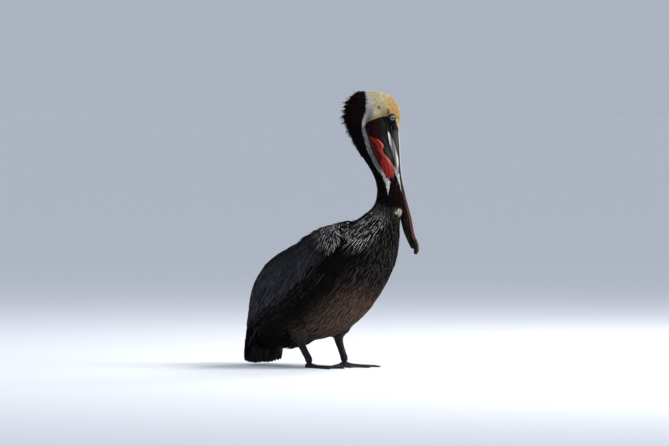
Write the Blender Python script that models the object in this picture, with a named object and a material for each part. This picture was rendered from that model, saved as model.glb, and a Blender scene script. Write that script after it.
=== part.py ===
"""A brown pelican in breeding plumage, life size, standing with its bill laid down beside its neck.

Metres, +Z up, facing -Y, so the bird's left is +X. The origin is on the ground between the feet. Trunk,
neck and head are stretches of one lofted form, parted by thin cuts. The folded wings, the tail, the
thighs and the throat pouch are lofts of their own, cut clear of what they lie on.
"""

import math

import bmesh
import bpy
import numpy as np
from mathutils import Vector

# ---------------------------------------------------------------------------------------------------
# Driving dimensions, in metres and degrees
# ---------------------------------------------------------------------------------------------------
STANCE = 0.0021  # how far the ankles' mean place is ahead of the middle of the bird's length
GAP = 0.0004  # the cut between two neighbouring pieces
ROOM = 0.0011  # clearance round a piece whose facets another piece's facets cross

# The body's centre line from above the tail to the root of the bill. Each station says where the line
# passes (forward of the feet, to the left, up), which way the section faces (degrees to the left), and
# the section's half width, depth to the back or crown and depth to the belly or throat.
BODY_STATIONS = {
    "wing_ends": (-0.229, 0.000, 0.056, 0, 0.036, 0.030, 0.014),
    "tail_root": (-0.207, 0.000, 0.092, 0, 0.056, 0.051, 0.052),
    "vent": (-0.160, 0.000, 0.128, 0, 0.074, 0.107, 0.088),
    "rump": (-0.100, 0.000, 0.162, 0, 0.094, 0.134, 0.104),
    "flank": (-0.034, 0.000, 0.198, 0, 0.107, 0.136, 0.126),
    "belly": (0.028, 0.000, 0.242, 0, 0.111, 0.122, 0.132),
    "breast": (0.085, 0.000, 0.294, 0, 0.112, 0.100, 0.122),
    "shoulder": (0.135, 0.000, 0.341, 0, 0.099, 0.064, 0.102),
    "collar": (0.178, 0.000, 0.385, 0, 0.069, 0.041, 0.068),
    "neck_root": (0.208, 0.000, 0.426, 0, 0.041, 0.032, 0.039),
    "neck_foot": (0.219, 0.000, 0.468, 0, 0.033, 0.031, 0.032),
    "neck_bend": (0.214, 0.000, 0.508, 0, 0.032, 0.032, 0.032),
    "neck_middle": (0.190, 0.000, 0.548, 0, 0.030, 0.030, 0.030),
    "neck_high": (0.159, 0.000, 0.583, 0, 0.029, 0.029, 0.029),
    "neck_top": (0.134, 0.000, 0.618, 4, 0.029, 0.030, 0.029),
    "nape": (0.119, 0.001, 0.652, 14, 0.030, 0.037, 0.028),
    "crest": (0.118, 0.003, 0.685, 24, 0.031, 0.048, 0.028),
    "hindcrown": (0.135, 0.011, 0.708, 28, 0.030, 0.041, 0.027),
    "crown": (0.161, 0.025, 0.710, 28, 0.029, 0.033, 0.033),
    "ear": (0.183, 0.036, 0.698, 28, 0.027, 0.032, 0.034),
    "eye": (0.197, 0.043, 0.678, 28, 0.025, 0.027, 0.029),
    "lores": (0.204, 0.047, 0.655, 28, 0.020, 0.016, 0.021),
}
NECK_CUTS = {  # where the stretches part: the two stations either side, and the share of the way
    "neck_lower": ("collar", "neck_root", 0.55),
    "neck_middle": ("neck_foot", "neck_bend", 0.60),
    "neck_upper": ("neck_middle", "neck_high", 0.70),
    "head": ("nape", "crest", 0.10),
}
AROUND = 24  # corners of a section of the body
STRETCH_RINGS = {"trunk": 20, "neck_lower": 7, "neck_middle": 7, "neck_upper": 8, "head": 15}

# The folded wing lies on the body from behind the tail's root to the wrist at the shoulder. Each station
# says where (a body station and a share of the way to the next), the angles from the back of its upper
# and lower edges, and how far it stands proud at its middle.
WING_STATIONS = [
    ("wing_ends", "tail_root", 0.10, 10, 50, 0.006),
    ("tail_root", "vent", 0.00, 12, 76, 0.009),
    ("vent", "rump", 0.00, 15, 92, 0.012),
    ("rump", "flank", 0.00, 18, 100, 0.014),
    ("flank", "belly", 0.00, 22, 101, 0.016),
    ("belly", "breast", 0.00, 26, 99, 0.018),
    ("breast", "shoulder", 0.00, 32, 97, 0.020),
    ("breast", "shoulder", 0.70, 40, 93, 0.021),
    ("shoulder", "collar", 0.22, 50, 85, 0.017),
]
WING_EDGE = 0.004  # how far the wing's edges stand proud
WING_FULLNESS = 0.5  # power of the wing's bulge: less is fuller near the edges
WING_BED = 0.0023  # clearance under the wing, for the facets of the body
WING_ROOM = 0.0020  # clearance between the wing's end and the tail
WING_END_RADIUS = 0.035  # how round the body is under the wing's end
WING_RINGS = 19
WING_ACROSS = 9

# The tail hangs behind the trunk, its tip just clear of the ground.
TAIL_STATIONS = {
    "root": (-0.2085, 0.000, 0.0890, 0, 0.046, 0.022, 0.050),
    "coverts": (-0.212, 0.000, 0.064, 0, 0.056, 0.020, 0.054),
    "fan": (-0.219, 0.000, 0.034, 0, 0.067, 0.013, 0.042),
    "tip": (-0.228, 0.000, 0.004, 0, 0.079, 0.004, 0.012),
}
TAIL_RINGS, TAIL_CORNERS = 8, 22

HEAD_TURN = 28  # how far the head and bill are turned to the left of the trunk
HEAD_AXIS = (0.117, 0.000)  # where the head's middle plane crosses the trunk's, forward and left

# The bill hangs in the head's middle plane. A station says how far it reaches from that crossing and up
# from the ground, then the half width, the depth to the culmen and the depth to the palate or throat.
UPPER_BILL = {
    "root": (0.1005, 0.664, 0.0180, 0.0100, 0.0090),
    "base": (0.1040, 0.625, 0.0168, 0.0098, 0.0088),
    "saddle": (0.1057, 0.600, 0.0155, 0.0094, 0.0084),
    "middle": (0.1108, 0.535, 0.0135, 0.0078, 0.0064),
    "shaft": (0.1266, 0.451, 0.0125, 0.0060, 0.0044),
    "fore": (0.1357, 0.400, 0.0125, 0.0060, 0.0044),
    "front": (0.1447, 0.3545, 0.0128, 0.0062, 0.0050),
    "nail": (0.1530, 0.330, 0.0105, 0.0078, 0.0064),
    "hook": (0.1540, 0.318, 0.0075, 0.0072, 0.0060),
    "point": (0.1505, 0.309, 0.0035, 0.0040, 0.0030),
}
LOWER_BILL = {
    "root": (0.0800, 0.664, 0.0195, 0.0095, 0.0065),
    "jaw": (0.0850, 0.625, 0.0190, 0.0092, 0.0060),
    "ramus": (0.0892, 0.600, 0.0175, 0.0070, 0.0056),
    "middle": (0.0992, 0.535, 0.0135, 0.0034, 0.0036),
    "shaft": (0.1181, 0.451, 0.0115, 0.0030, 0.0034),
    "fore": (0.1270, 0.400, 0.0112, 0.0028, 0.0034),
    "front": (0.1360, 0.3545, 0.0105, 0.0024, 0.0034),
    "tip": (0.1430, 0.3230, 0.0070, 0.0020, 0.0026),
}
NAIL_SHARE = 0.88  # how far down the upper bill its horny nail begins
UPPER_RINGS, NAIL_RINGS, LOWER_RINGS, BILL_CORNERS = 20, 6, 18, 14

# The throat pouch fills the bend between the neck and the lower bill.
POUCH_STATIONS = {
    "chin": (0.160, 0.020, 0.694, 28, 0.024, 0.022, 0.022),
    "throat": (0.167, 0.019, 0.655, 28, 0.027, 0.028, 0.024),
    "bag": (0.174, 0.014, 0.610, 24, 0.026, 0.027, 0.024),
    "fold": (0.194, 0.005, 0.570, 10, 0.024, 0.024, 0.021),
    "lower_fold": (0.217, -0.008, 0.538, -20, 0.020, 0.020, 0.017),
    "end": (0.234, -0.017, 0.511, -40, 0.012, 0.011, 0.010),
}
POUCH_RINGS, POUCH_CORNERS = 12, 20
HEAD_ROOM_RINGS, TRUNK_ROOM_RINGS = 60, 16  # rings of the spaces that other pieces are cut clear of

EYE_RADIUS = 0.010
EYE_CORNERS, EYE_RINGS = 14, 8
EYE_REACH, EYE_UP, EYE_ASIDE = 0.0950, 0.673, 0.0162

# The legs: heel and ankle as forward, aside, up, and how far the foot points outwards.
LEGS = {
    "right": {"side": -1, "heel": (-0.040, 0.060, 0.072), "ankle": (-0.012, 0.060, 0.0165), "turn": 2},
    "left": {"side": 1, "heel": (-0.008, 0.060, 0.078), "ankle": (0.012, 0.060, 0.0165), "turn": -4},
}

# The shank: shares of the way forward and of the way down from heel to ankle, then the section's sizes.
SHANK_STATIONS = {
    "heel": (0.00, 0.00, 0.0060, 0.0085, 0.0075),
    "below_heel": (0.00, 0.06, 0.0055, 0.0076, 0.0066),
    "shin": (0.50, 0.53, 0.0045, 0.0058, 0.0056),
    "above_foot": (1.00, 0.95, 0.0054, 0.0066, 0.0066),
    "ankle": (1.00, 1.00, 0.0060, 0.0070, 0.0070),
}
SHANK_RINGS, SHANK_CORNERS = 8, 12

# The thigh: forward of the heel, how much further out than it, above it, then the section's sizes.
THIGH_STATIONS = {
    "hip": (0.026, 1.22, 0.100, 0.024, 0.036, 0.036),
    "thigh": (0.012, 1.18, 0.056, 0.026, 0.034, 0.034),
    "knee": (0.000, 1.00, 0.010, 0.014, 0.017, 0.017),
    "end": (0.000, 1.00, GAP, 0.0085, 0.0110, 0.0100),
}
THIGH_RINGS, THIGH_CORNERS = 9, 16

# The foot's toes: the angle towards the bird's middle, and the length.
TOES = {"outer": (-17, 0.108), "middle": (9, 0.112), "inner": (35, 0.090), "hind": (88, 0.048)}
WEB_NOTCH = 0.80  # how far the web's edge falls back between two toes
NOTCH_FULLNESS = 0.7  # power of the notch's curve: less is squarer
WEB_HEIGHT, TOE_HEIGHT, ANKLE_HEIGHT = 0.0022, 0.0060, 0.0160
TOE_WIDTH, ANKLE_SPREAD = 0.0058, 0.0120
TOE_START, TOE_FULL = -0.006, 0.004  # where a toe's ridge rises, ahead of the ankle
TOE_TAPER = 0.35  # how much lower the ridge is at the toe's tip
HEEL_PAD = 0.011  # how far the foot reaches behind the ankle
TOE_SWEEP = 14  # degrees over which the outline falls back from the outermost toes
RIM_HEIGHT = 0.55  # the share of the height left at the outline's very edge
FOOT_SHARES = (0.02, 0.12, 0.25, 0.45, 0.70, 0.90)  # rings of the foot between the ankle and its edge
FOOT_TURNS = (
    *(-17 + 6.5 * k for k in range(5)),  # outer toe to middle toe
    *(9 + 6.5 * k for k in range(1, 5)),  # to the inner toe
    *(35 + 53 / 6 * k for k in range(1, 7)),  # to the hind toe
    *(88 + 6 * k for k in range(1, 3)),  # round its tip
    *(130 + 25 * k for k in range(8)),  # behind the ankle
    *(-29 + 6 * k for k in range(2)),  # back to the outer toe
)


def heading(forward, left, up):
    """A direction from the bird's own: forward, to its left, and up."""
    return Vector((left, -forward, up))


def place(forward, left, up):
    """A point, given as how far forward of the ankles, to the left, and up it is."""
    return heading(forward + STANCE, left, up)


def turned(forward, left, degrees):
    """The same step, forward and left, turned to the bird's left."""
    c, s = math.cos(math.radians(degrees)), math.sin(math.radians(degrees))
    return forward * c - left * s, forward * s + left * c


# ---------------------------------------------------------------------------------------------------
# Scene, objects and cuts
# ---------------------------------------------------------------------------------------------------
def clear_scene():
    """Removes every object, so that only the bird is left."""
    for old in list(bpy.data.objects):
        bpy.data.objects.remove(old)


def new_collection(name):
    """A collection of that name, linked to the scene."""
    made = bpy.data.collections.new(name)
    bpy.context.scene.collection.children.link(made)
    return made


def new_material(name, colour, roughness):
    """A plain material with a Principled shader."""
    made = bpy.data.materials.new(name)
    made.use_nodes = True
    shader = made.node_tree.nodes["Principled BSDF"]
    shader.inputs["Base Color"].default_value = (*colour, 1.0)
    shader.inputs["Roughness"].default_value = roughness
    shader.inputs["Metallic"].default_value = 0.0
    return made


def add_object(name, form, collection, material):
    """One named object from a bmesh, with its faces pointing out and shaded smooth."""
    bmesh.ops.recalc_face_normals(form, faces=form.faces)
    mesh = bpy.data.meshes.new(name)
    form.to_mesh(mesh)
    form.free()
    mesh.shade_smooth()
    made = bpy.data.objects.new(name, mesh)
    collection.objects.link(made)
    if material:
        mesh.materials.append(material)
    return made


def add_cutter(name, form, collection):
    """A guide that only cuts other pieces."""
    made = add_object(name, form, collection, None)
    made.hide_render = True
    made.display_type = "WIRE"
    return made


def combine(piece, other, operation):
    """Cuts another object out of a piece, or joins it on."""
    boolean = piece.modifiers.new(f"{operation.lower()} {other.name}", "BOOLEAN")
    boolean.operation = operation
    boolean.solver = "EXACT"
    boolean.object = other


# ---------------------------------------------------------------------------------------------------
# Lofts
# ---------------------------------------------------------------------------------------------------
def smooth_through(knots, values, at):
    """The rows of `values`, read at `at` on a smooth curve through them (cubic Hermite)."""
    slopes = np.gradient(values, knots, axis=0)
    i = int(np.clip(np.searchsorted(knots, at, side="right") - 1, 0, len(knots) - 2))
    step = knots[i + 1] - knots[i]
    u = (at - knots[i]) / step
    return (
        (2 * u**3 - 3 * u**2 + 1) * values[i]
        + (u**3 - 2 * u**2 + u) * step * slopes[i]
        + (3 * u**2 - 2 * u**3) * values[i + 1]
        + (u**3 - u**2) * step * slopes[i + 1]
    )


def ease(low, high, x):
    """0 below low, 1 above high, and a smooth step between."""
    u = min(1.0, max(0.0, (x - low) / (high - low)))
    return u * u * (3 - 2 * u)


def skin_over(rings):
    """A closed mesh over rings with as many corners each, with an end face on the first and last."""
    form = bmesh.new()
    loops = [[form.verts.new(p) for p in ring] for ring in rings]
    count = len(rings[0])
    for low, high in zip(loops, loops[1:], strict=False):
        for i in range(count):
            j = (i + 1) % count
            form.faces.new((low[i], low[j], high[j], high[i]))
    form.faces.new(loops[0])
    form.faces.new(loops[-1])
    bmesh.ops.triangulate(form, faces=[f for f in form.faces if len(f.verts) > 4])
    return form


class Line:
    """A centre line with elliptical sections. Places on it are lengths along it, in metres.

    A station is (forward, left, up, facing, half width, depth behind, depth in front), where behind is
    the back, crown or culmen side.
    """

    def __init__(self, stations):
        self.rows = np.array(list(stations.values()), float)
        steps = np.linalg.norm(np.diff(self.rows[:, :3], axis=0), axis=1)
        self.knots = np.concatenate([[0], np.cumsum(steps)])
        self.at = dict(zip(stations, self.knots, strict=True))
        self.length = self.knots[-1]

    def between(self, first, second, share):
        """The place this share of the way from one named station to another."""
        return self.at[first] + (self.at[second] - self.at[first]) * share

    def frame(self, s):
        """(centre, along the line, to the left, to the back, sizes) at s."""
        row = smooth_through(self.knots, self.rows, s)
        near = 1e-4
        ahead = smooth_through(self.knots, self.rows, s + near)
        behind = smooth_through(self.knots, self.rows, s - near)
        along = (place(*ahead[:3]) - place(*behind[:3])).normalized()
        left = heading(*turned(0, 1, row[3]), 0)
        left = (left - along * left.dot(along)).normalized()
        return place(*row[:3]), along, left, along.cross(left), row[4:]

    def point(self, s, angle, out=0.0, shift=0.0):
        """A point `out` proud of the surface. Angle 0 is the back, 90 degrees the bird's left."""
        centre, along, left, back, (width, behind, front) = self.frame(s)
        depth = behind if math.cos(angle) > 0 else front
        across = left * (width + out) * math.sin(angle)
        return centre + along * shift + across + back * (depth + out) * math.cos(angle)

    def stretch(self, start, end, rings, out=0.0, around=AROUND):
        """The stretch from start to end as a closed mesh."""
        turns = [2 * math.pi * k / around for k in range(around)]
        places = np.linspace(start, end, rings)
        return skin_over([[self.point(s, a, out) for a in turns] for s in places])


# ---------------------------------------------------------------------------------------------------
# The bird's parts
# ---------------------------------------------------------------------------------------------------
def build_body(body, parts, materials):
    """Trunk, neck and head: stretches of one line, parted by thin cuts."""
    cuts = {name: body.between(*cut) for name, cut in NECK_CUTS.items()}
    starts = [body.at["tail_root"]] + [c + GAP / 2 for c in cuts.values()]
    ends = [c - GAP / 2 for c in cuts.values()] + [body.length]
    made = {}
    for name, start, end in zip(["trunk", *cuts], starts, ends, strict=True):
        form = body.stretch(start, end, STRETCH_RINGS[name])
        finish = materials["crown"] if name == "head" else materials["feather"]
        made[name] = add_object(name, form, parts, finish)
    return made


def wing_ring(body, s, edges, proud, side, room):
    """A section of the wing: out over its surface from the upper to the lower edge, and back."""
    shares = np.linspace(0, 1, WING_ACROSS)
    angles = [math.radians(edges[0] + (edges[1] - edges[0]) * v) * side for v in shares]
    crown = [WING_EDGE + (proud - WING_EDGE) * math.sin(math.pi * v) ** WING_FULLNESS for v in shares]
    outer = [body.point(s, a, c + room) for a, c in zip(angles, crown, strict=True)]
    inner = [body.point(s, a, WING_BED - room) for a in angles]
    return outer + inner[::-1]


def wing_form(body, side, room=0.0):
    """A folded wing, lying on the body's side, or the room that it takes up."""
    knots = np.array([body.between(*row[:3]) for row in WING_STATIONS])
    sizes = np.array([row[3:] for row in WING_STATIONS], float)
    rings = []
    for s in np.linspace(knots[0] - room, knots[-1] + room, WING_RINGS):
        upper, lower, proud = smooth_through(knots, sizes, s)
        spread = math.degrees(room / WING_END_RADIUS)
        rings.append(wing_ring(body, s, (upper - spread, lower + spread), proud, side, room))
    return skin_over(rings)


def build_wings(body, guides, parts, material):
    """Both wings, and the room that each takes up."""
    rooms = []
    for name, side in (("right", -1), ("left", 1)):
        add_object(f"wing_{name}", wing_form(body, side), parts, material)
        rooms.append(add_cutter(f"wing {name} room", wing_form(body, side, WING_ROOM), guides))
    return rooms


def build_tail(parts, material):
    """The short tail, fanned a little."""
    line = Line(TAIL_STATIONS)
    form = line.stretch(0, line.length, TAIL_RINGS, around=TAIL_CORNERS)
    return add_object("tail", form, parts, material)


def head_place(reach, aside, up):
    """A point from the head's middle plane: how far along it, to its left, and up."""
    forward, left = turned(reach, aside, HEAD_TURN)
    return (HEAD_AXIS[0] + forward, HEAD_AXIS[1] + left, up)


def bill_line(stations):
    """A line of the bill, in the head's middle plane."""
    rows = {}
    for name, (reach, up, *sizes) in stations.items():
        rows[name] = (*head_place(reach, 0, up), HEAD_TURN, *sizes)
    return Line(rows)


def build_bill(made, guides, parts, materials):
    """Upper bill with its nail, and lower bill, cut clear of the head."""
    upper, lower = bill_line(UPPER_BILL), bill_line(LOWER_BILL)
    nail = upper.length * NAIL_SHARE
    pieces = {
        "bill_upper": upper.stretch(0, nail - GAP / 2, UPPER_RINGS, around=BILL_CORNERS),
        "bill_nail": upper.stretch(nail + GAP / 2, upper.length, NAIL_RINGS, around=BILL_CORNERS),
        "bill_lower": lower.stretch(0, lower.length, LOWER_RINGS, around=BILL_CORNERS),
    }
    for name, form in pieces.items():
        made[name] = add_object(name, form, parts, materials["bill"])
    form = lower.stretch(0, lower.length, LOWER_RINGS, out=ROOM, around=BILL_CORNERS)
    add_cutter("lower bill room", form, guides)


def build_head_room(body, guides):
    """The space of the head and upper neck, which the bill and pouch are cut clear of."""
    form = body.stretch(body.at["neck_foot"], body.length + GAP, HEAD_ROOM_RINGS, out=ROOM)
    return add_cutter("head and neck room", form, guides)


def ball(radius, at):
    """A ball at that place."""
    form = bmesh.new()
    bmesh.ops.create_uvsphere(form, u_segments=EYE_CORNERS, v_segments=EYE_RINGS, radius=radius)
    bmesh.ops.translate(form, verts=form.verts, vec=at)
    return form


def build_eyes(head, guides, parts, material):
    """The eyes, each in a socket of the head."""
    for name, side in (("eye_right", -1), ("eye_left", 1)):
        at = place(*head_place(EYE_REACH, EYE_ASIDE * side, EYE_UP))
        add_object(name, ball(EYE_RADIUS, at), parts, material)
        combine(head, add_cutter(f"{name} socket", ball(EYE_RADIUS + GAP, at), guides), "DIFFERENCE")


def build_pouch(room, guides, parts, material):
    """The throat pouch, cut clear of the neck, head and lower bill."""
    line = Line(POUCH_STATIONS)
    form = line.stretch(0, line.length, POUCH_RINGS, around=POUCH_CORNERS)
    pouch = add_object("pouch", form, parts, material)
    combine(pouch, room, "DIFFERENCE")
    combine(pouch, guides.objects["lower bill room"], "DIFFERENCE")
    return pouch


def build_shank(name, leg, parts, material):
    """The bare shank, from the heel joint to the foot."""
    heel, ankle = Vector(leg["heel"]), Vector(leg["ankle"])
    rows = {}
    for station, (onward, down, *sizes) in SHANK_STATIONS.items():
        forward, aside, _ = heel.lerp(ankle, onward)
        up = heel.lerp(ankle, down).z
        rows[station] = (forward, aside * leg["side"], up, leg["turn"] * leg["side"], *sizes)
    line = Line(rows)
    form = line.stretch(0, line.length, SHANK_RINGS, around=SHANK_CORNERS)
    add_object(f"shank_{name}", form, parts, material)


def build_thigh(name, leg, trunk_room, parts, material):
    """The feathered thigh, coming out of the belly."""
    forward, aside, up = leg["heel"]
    rows = {}
    for station, (ahead, outward, above, *sizes) in THIGH_STATIONS.items():
        rows[station] = (forward + ahead, aside * outward * leg["side"], up + above, 0, *sizes)
    line = Line(rows)
    form = line.stretch(0, line.length, THIGH_RINGS, around=THIGH_CORNERS)
    piece = add_object(f"thigh_{name}", form, parts, material)
    combine(piece, trunk_room, "DIFFERENCE")


def foot_edge(turn):
    """How far the foot's edge is from the ankle, at that angle towards the bird's middle."""
    toes = list(TOES.values())
    for (first, near), (second, far) in zip(toes, toes[1:], strict=False):
        if first <= turn <= second:
            share = (turn - first) / (second - first)
            straight = near + (far - near) * share
            return straight * (1 - (1 - WEB_NOTCH) * math.sin(math.pi * share) ** NOTCH_FULLNESS)
    past = min(abs(turn - toes[0][0]), abs(turn - toes[-1][0]))
    end = toes[0][1] if turn < 0 else toes[-1][1]
    return HEEL_PAD + (end - HEEL_PAD) * max(0.0, 1 - past / TOE_SWEEP) ** 3


def foot_height(forward, inward):
    """The height of the foot's upper side: web, toe ridges and ankle."""
    ridge = 0.0
    for turn, length in TOES.values():
        c, s = math.cos(math.radians(turn)), math.sin(math.radians(turn))
        along, across = forward * c + inward * s, inward * c - forward * s
        taper = 1 - TOE_TAPER * min(1.0, max(0.0, along) / length)
        inside = ease(TOE_START, TOE_FULL, along) * taper
        ridge = max(ridge, inside * math.exp(-((across / TOE_WIDTH) ** 2)))
    near = math.exp(-((math.hypot(forward, inward) / ANKLE_SPREAD) ** 2))
    return WEB_HEIGHT + TOE_HEIGHT * ridge * (1 - near) + (ANKLE_HEIGHT - WEB_HEIGHT) * near


def foot_ring(leg, share, height):
    """The points this share of the way from the ankle to the foot's edge, at this share of its height."""
    ring = []
    for turn in FOOT_TURNS:
        forward, inward = turned(foot_edge(turn) * share, 0, turn)
        up = foot_height(forward, inward) * height
        ahead, aside = turned(forward, -inward * leg["side"], leg["turn"] * leg["side"])
        ring.append(place(leg["ankle"][0] + ahead, leg["ankle"][1] * leg["side"] + aside, up))
    return ring


def build_foot(name, leg, parts, material):
    """A webbed foot, flat under the sole, with its toes as ridges on the web."""
    rings = [foot_ring(leg, share, 1.0) for share in FOOT_SHARES]
    rings += [foot_ring(leg, 1.0, RIM_HEIGHT), foot_ring(leg, 1.0, 0.0)]
    add_object(f"foot_{name}", skin_over(rings), parts, material)


def main():
    """Builds the bird."""
    clear_scene()
    parts = new_collection("brown_pelican")
    guides = new_collection("cutters")
    materials = {
        "feather": new_material("dark feathers", (0.035, 0.030, 0.030), 0.8),
        "wing": new_material("wing feathers", (0.10, 0.10, 0.11), 0.7),
        "crown": new_material("crown feathers", (0.62, 0.50, 0.30), 0.8),
        "bill": new_material("bill horn", (0.22, 0.18, 0.15), 0.45),
        "pouch": new_material("pouch skin", (0.45, 0.04, 0.04), 0.5),
        "leg": new_material("leg skin", (0.02, 0.02, 0.02), 0.6),
        "eye": new_material("eye", (0.55, 0.60, 0.65), 0.1),
    }
    body = Line(BODY_STATIONS)
    made = build_body(body, parts, materials)
    wing_rooms = build_wings(body, guides, parts, materials["wing"])
    tail = build_tail(parts, materials["feather"])
    build_bill(made, guides, parts, materials)
    room = build_head_room(body, guides)
    for name in ("bill_upper", "bill_lower"):
        combine(made[name], room, "DIFFERENCE")
    build_eyes(made["head"], guides, parts, materials["eye"])
    build_pouch(room, guides, parts, materials["pouch"])
    start = body.at["tail_root"] - ROOM
    form = body.stretch(start, body.at["breast"], TRUNK_ROOM_RINGS, out=ROOM)
    trunk_room = add_cutter("trunk room", form, guides)
    for taken in (trunk_room, *wing_rooms):
        combine(tail, taken, "DIFFERENCE")
    for name, leg in LEGS.items():
        build_shank(name, leg, parts, materials["leg"])
        build_thigh(name, leg, trunk_room, parts, materials["feather"])
        build_foot(name, leg, parts, materials["leg"])


main()
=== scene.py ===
"""A brown pelican in breeding plumage, life size, in a plain studio: skin, plumage, bill, pouch, eyes, feet.

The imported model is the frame, and gives every outline. Lengths are in metres and angles in degrees. The
bird faces -Y and its left is +X. A place on the body is told by a length along the bird's middle line and
an angle round it: 0 is the back, 90 the bird's left, -90 its right, 180 the breast and throat.
"""

import logging
import math
from collections.abc import Callable
from dataclasses import dataclass, field, replace
from enum import Enum

import bmesh
import bpy
import numpy as np
from mathutils import Euler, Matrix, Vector
from mathutils.bvhtree import BVHTree

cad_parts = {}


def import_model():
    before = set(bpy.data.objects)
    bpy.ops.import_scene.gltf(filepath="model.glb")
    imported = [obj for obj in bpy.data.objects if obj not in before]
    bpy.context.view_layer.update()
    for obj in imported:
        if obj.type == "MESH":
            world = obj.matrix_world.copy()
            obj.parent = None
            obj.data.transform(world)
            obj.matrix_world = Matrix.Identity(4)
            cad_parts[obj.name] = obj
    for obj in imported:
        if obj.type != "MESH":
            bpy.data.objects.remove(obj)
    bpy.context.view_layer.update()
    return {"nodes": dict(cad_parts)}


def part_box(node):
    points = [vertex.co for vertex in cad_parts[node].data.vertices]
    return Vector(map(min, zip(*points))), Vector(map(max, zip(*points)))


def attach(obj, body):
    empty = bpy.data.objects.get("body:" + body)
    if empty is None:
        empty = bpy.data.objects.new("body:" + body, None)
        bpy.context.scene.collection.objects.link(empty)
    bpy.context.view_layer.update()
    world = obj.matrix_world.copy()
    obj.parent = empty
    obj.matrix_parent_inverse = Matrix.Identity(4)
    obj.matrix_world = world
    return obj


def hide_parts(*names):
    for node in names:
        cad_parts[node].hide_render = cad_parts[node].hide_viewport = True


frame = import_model()

log = logging.getLogger("pelican")
logging.basicConfig(level=logging.INFO, format="%(name)s: %(message)s")

Numbers = np.ndarray
Colour = tuple[float, float, float]
Point = tuple[float, float, float]
Painter = Callable[[Numbers, Numbers, Numbers], tuple[Numbers, Numbers]]

ROOT = "root"
SIDES = {"right": -1, "left": 1}
STANCE = 0.0021  # how far the ankles' mean place is ahead of the origin
ASTRIDE = 0.060  # how far each ankle is to its side


# ---- Small helpers ---------------------------
def world(forward: Numbers, left: Numbers, up: Numbers) -> Numbers:
    """Points from their places forward of the ankles, to the bird's left, and up."""
    return np.stack([left, -(forward + STANCE), up], axis=-1)


def rise(low: float | Numbers, high: float | Numbers, x: Numbers) -> Numbers:
    """A smooth step: 0 at low, 1 at high, which may be the smaller of the two."""
    u = np.clip((x - low) / (high - low), 0, 1)
    return u * u * (3 - 2 * u)


def over(below: Numbers, mask: Numbers, colour: Colour | Numbers) -> Numbers:
    """Colours with another laid over them where the mask says so."""
    return below * (1 - mask[:, None]) + np.asarray(colour, float) * mask[:, None]


def layered(colour: Numbers, *layers: tuple[Numbers, Colour | Numbers]) -> Numbers:
    """Colours with layers laid over them in turn, each a mask and its colour.

    Args:
        colour: The colours underneath.
        layers: Masks, each with its colour.

    Returns:
        The mixed colours.
    """
    for mask, paint in layers:
        colour = over(colour, mask, paint)
    return colour


def unit(vectors: Numbers) -> Numbers:
    """The same directions, one metre long."""
    return vectors / np.maximum(np.linalg.norm(vectors, axis=-1, keepdims=True), 1e-9)


def square_to(ways: Numbers, axes: Numbers) -> Numbers:
    """The parts of some directions that are square to these axes, one metre long."""
    return unit(ways - axes * np.sum(ways * axes, axis=-1, keepdims=True))


def hump(x: Numbers, middle: float | Numbers, width: float) -> Numbers:
    """A smooth hump: 1 in the middle, and about a third this far from it."""
    return np.exp(-(((x - middle) / width) ** 2))


def tiled(colour: tuple[float, ...], count: int) -> Numbers:
    """One colour in this many rows."""
    return np.tile(colour, (count, 1))


def wrapped(degrees: Numbers) -> Numbers:
    """Angles between -180 and 180."""
    return (degrees + 180) % 360 - 180


def linked(name: str, data: bpy.types.ID) -> bpy.types.Object:
    """A new object in the scene.

    Args:
        name: Its name.
        data: Its data.

    Returns:
        The object.
    """
    made = bpy.data.objects.new(name, data)
    bpy.context.scene.collection.objects.link(made)
    return made


def object_mode() -> None:
    """Leaves edit mode and deselects everything."""
    if bpy.context.object and bpy.context.object.mode != "OBJECT":
        bpy.ops.object.mode_set(mode="OBJECT")
    bpy.ops.object.select_all(action="DESELECT")


def take(*pieces: bpy.types.Object) -> None:
    """Selects only these objects, the first of them active.

    Args:
        pieces: The objects.
    """
    object_mode()
    for piece in pieces:
        piece.select_set(True)
    bpy.context.view_layer.objects.active = pieces[0]


def apply_modifier(piece: bpy.types.Object, kind: str, **settings: object) -> None:
    """Adds a modifier with these settings and applies it.

    Args:
        piece: The object to change.
        kind: Blender's name for the modifier's type.
        settings: The modifier's own values.
    """
    take(piece)
    modifier = piece.modifiers.new(kind.lower(), kind)
    for name, value in settings.items():
        setattr(modifier, name, value)
    bpy.ops.object.modifier_apply(modifier=modifier.name)


def settle(piece: bpy.types.Object) -> None:
    """Puts an object's place, turn and size into its mesh."""
    take(piece)
    bpy.ops.object.transform_apply(location=True, rotation=True, scale=True)


def joined(pieces: list[bpy.types.Object], name: str) -> bpy.types.Object:
    """Joins objects into the first of them and names it.

    Args:
        pieces: The objects.
        name: The name that they get.

    Returns:
        The one object.
    """
    take(*pieces)
    if len(pieces) > 1:
        bpy.ops.object.join()
    pieces[0].name = name
    pieces[0].data.name = name
    return pieces[0]


def copy_of(node: str) -> bpy.types.Object:
    """A copy of one of the frame's solids, with its loose triangles merged.

    Args:
        node: The solid's name.

    Returns:
        The copy.
    """
    piece = linked(f"copy_{node}", frame["nodes"][node].data.copy())
    piece.data.materials.clear()
    form = bmesh.new()
    form.from_mesh(piece.data)
    bmesh.ops.remove_doubles(form, verts=form.verts, dist=2e-5)
    form.to_mesh(piece.data)
    form.free()
    return piece


def places_of(piece: bpy.types.Object) -> Numbers:
    """Every vertex of a mesh, as rows.

    Args:
        piece: The mesh.

    Returns:
        A row for every vertex.
    """
    flat = np.empty(len(piece.data.vertices) * 3)
    piece.data.vertices.foreach_get("co", flat)
    return flat.reshape(-1, 3)


def move_to(piece: bpy.types.Object, points: Numbers) -> None:
    """Puts every vertex of a mesh at its row."""
    piece.data.vertices.foreach_set("co", points.ravel())
    piece.data.update()


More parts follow.
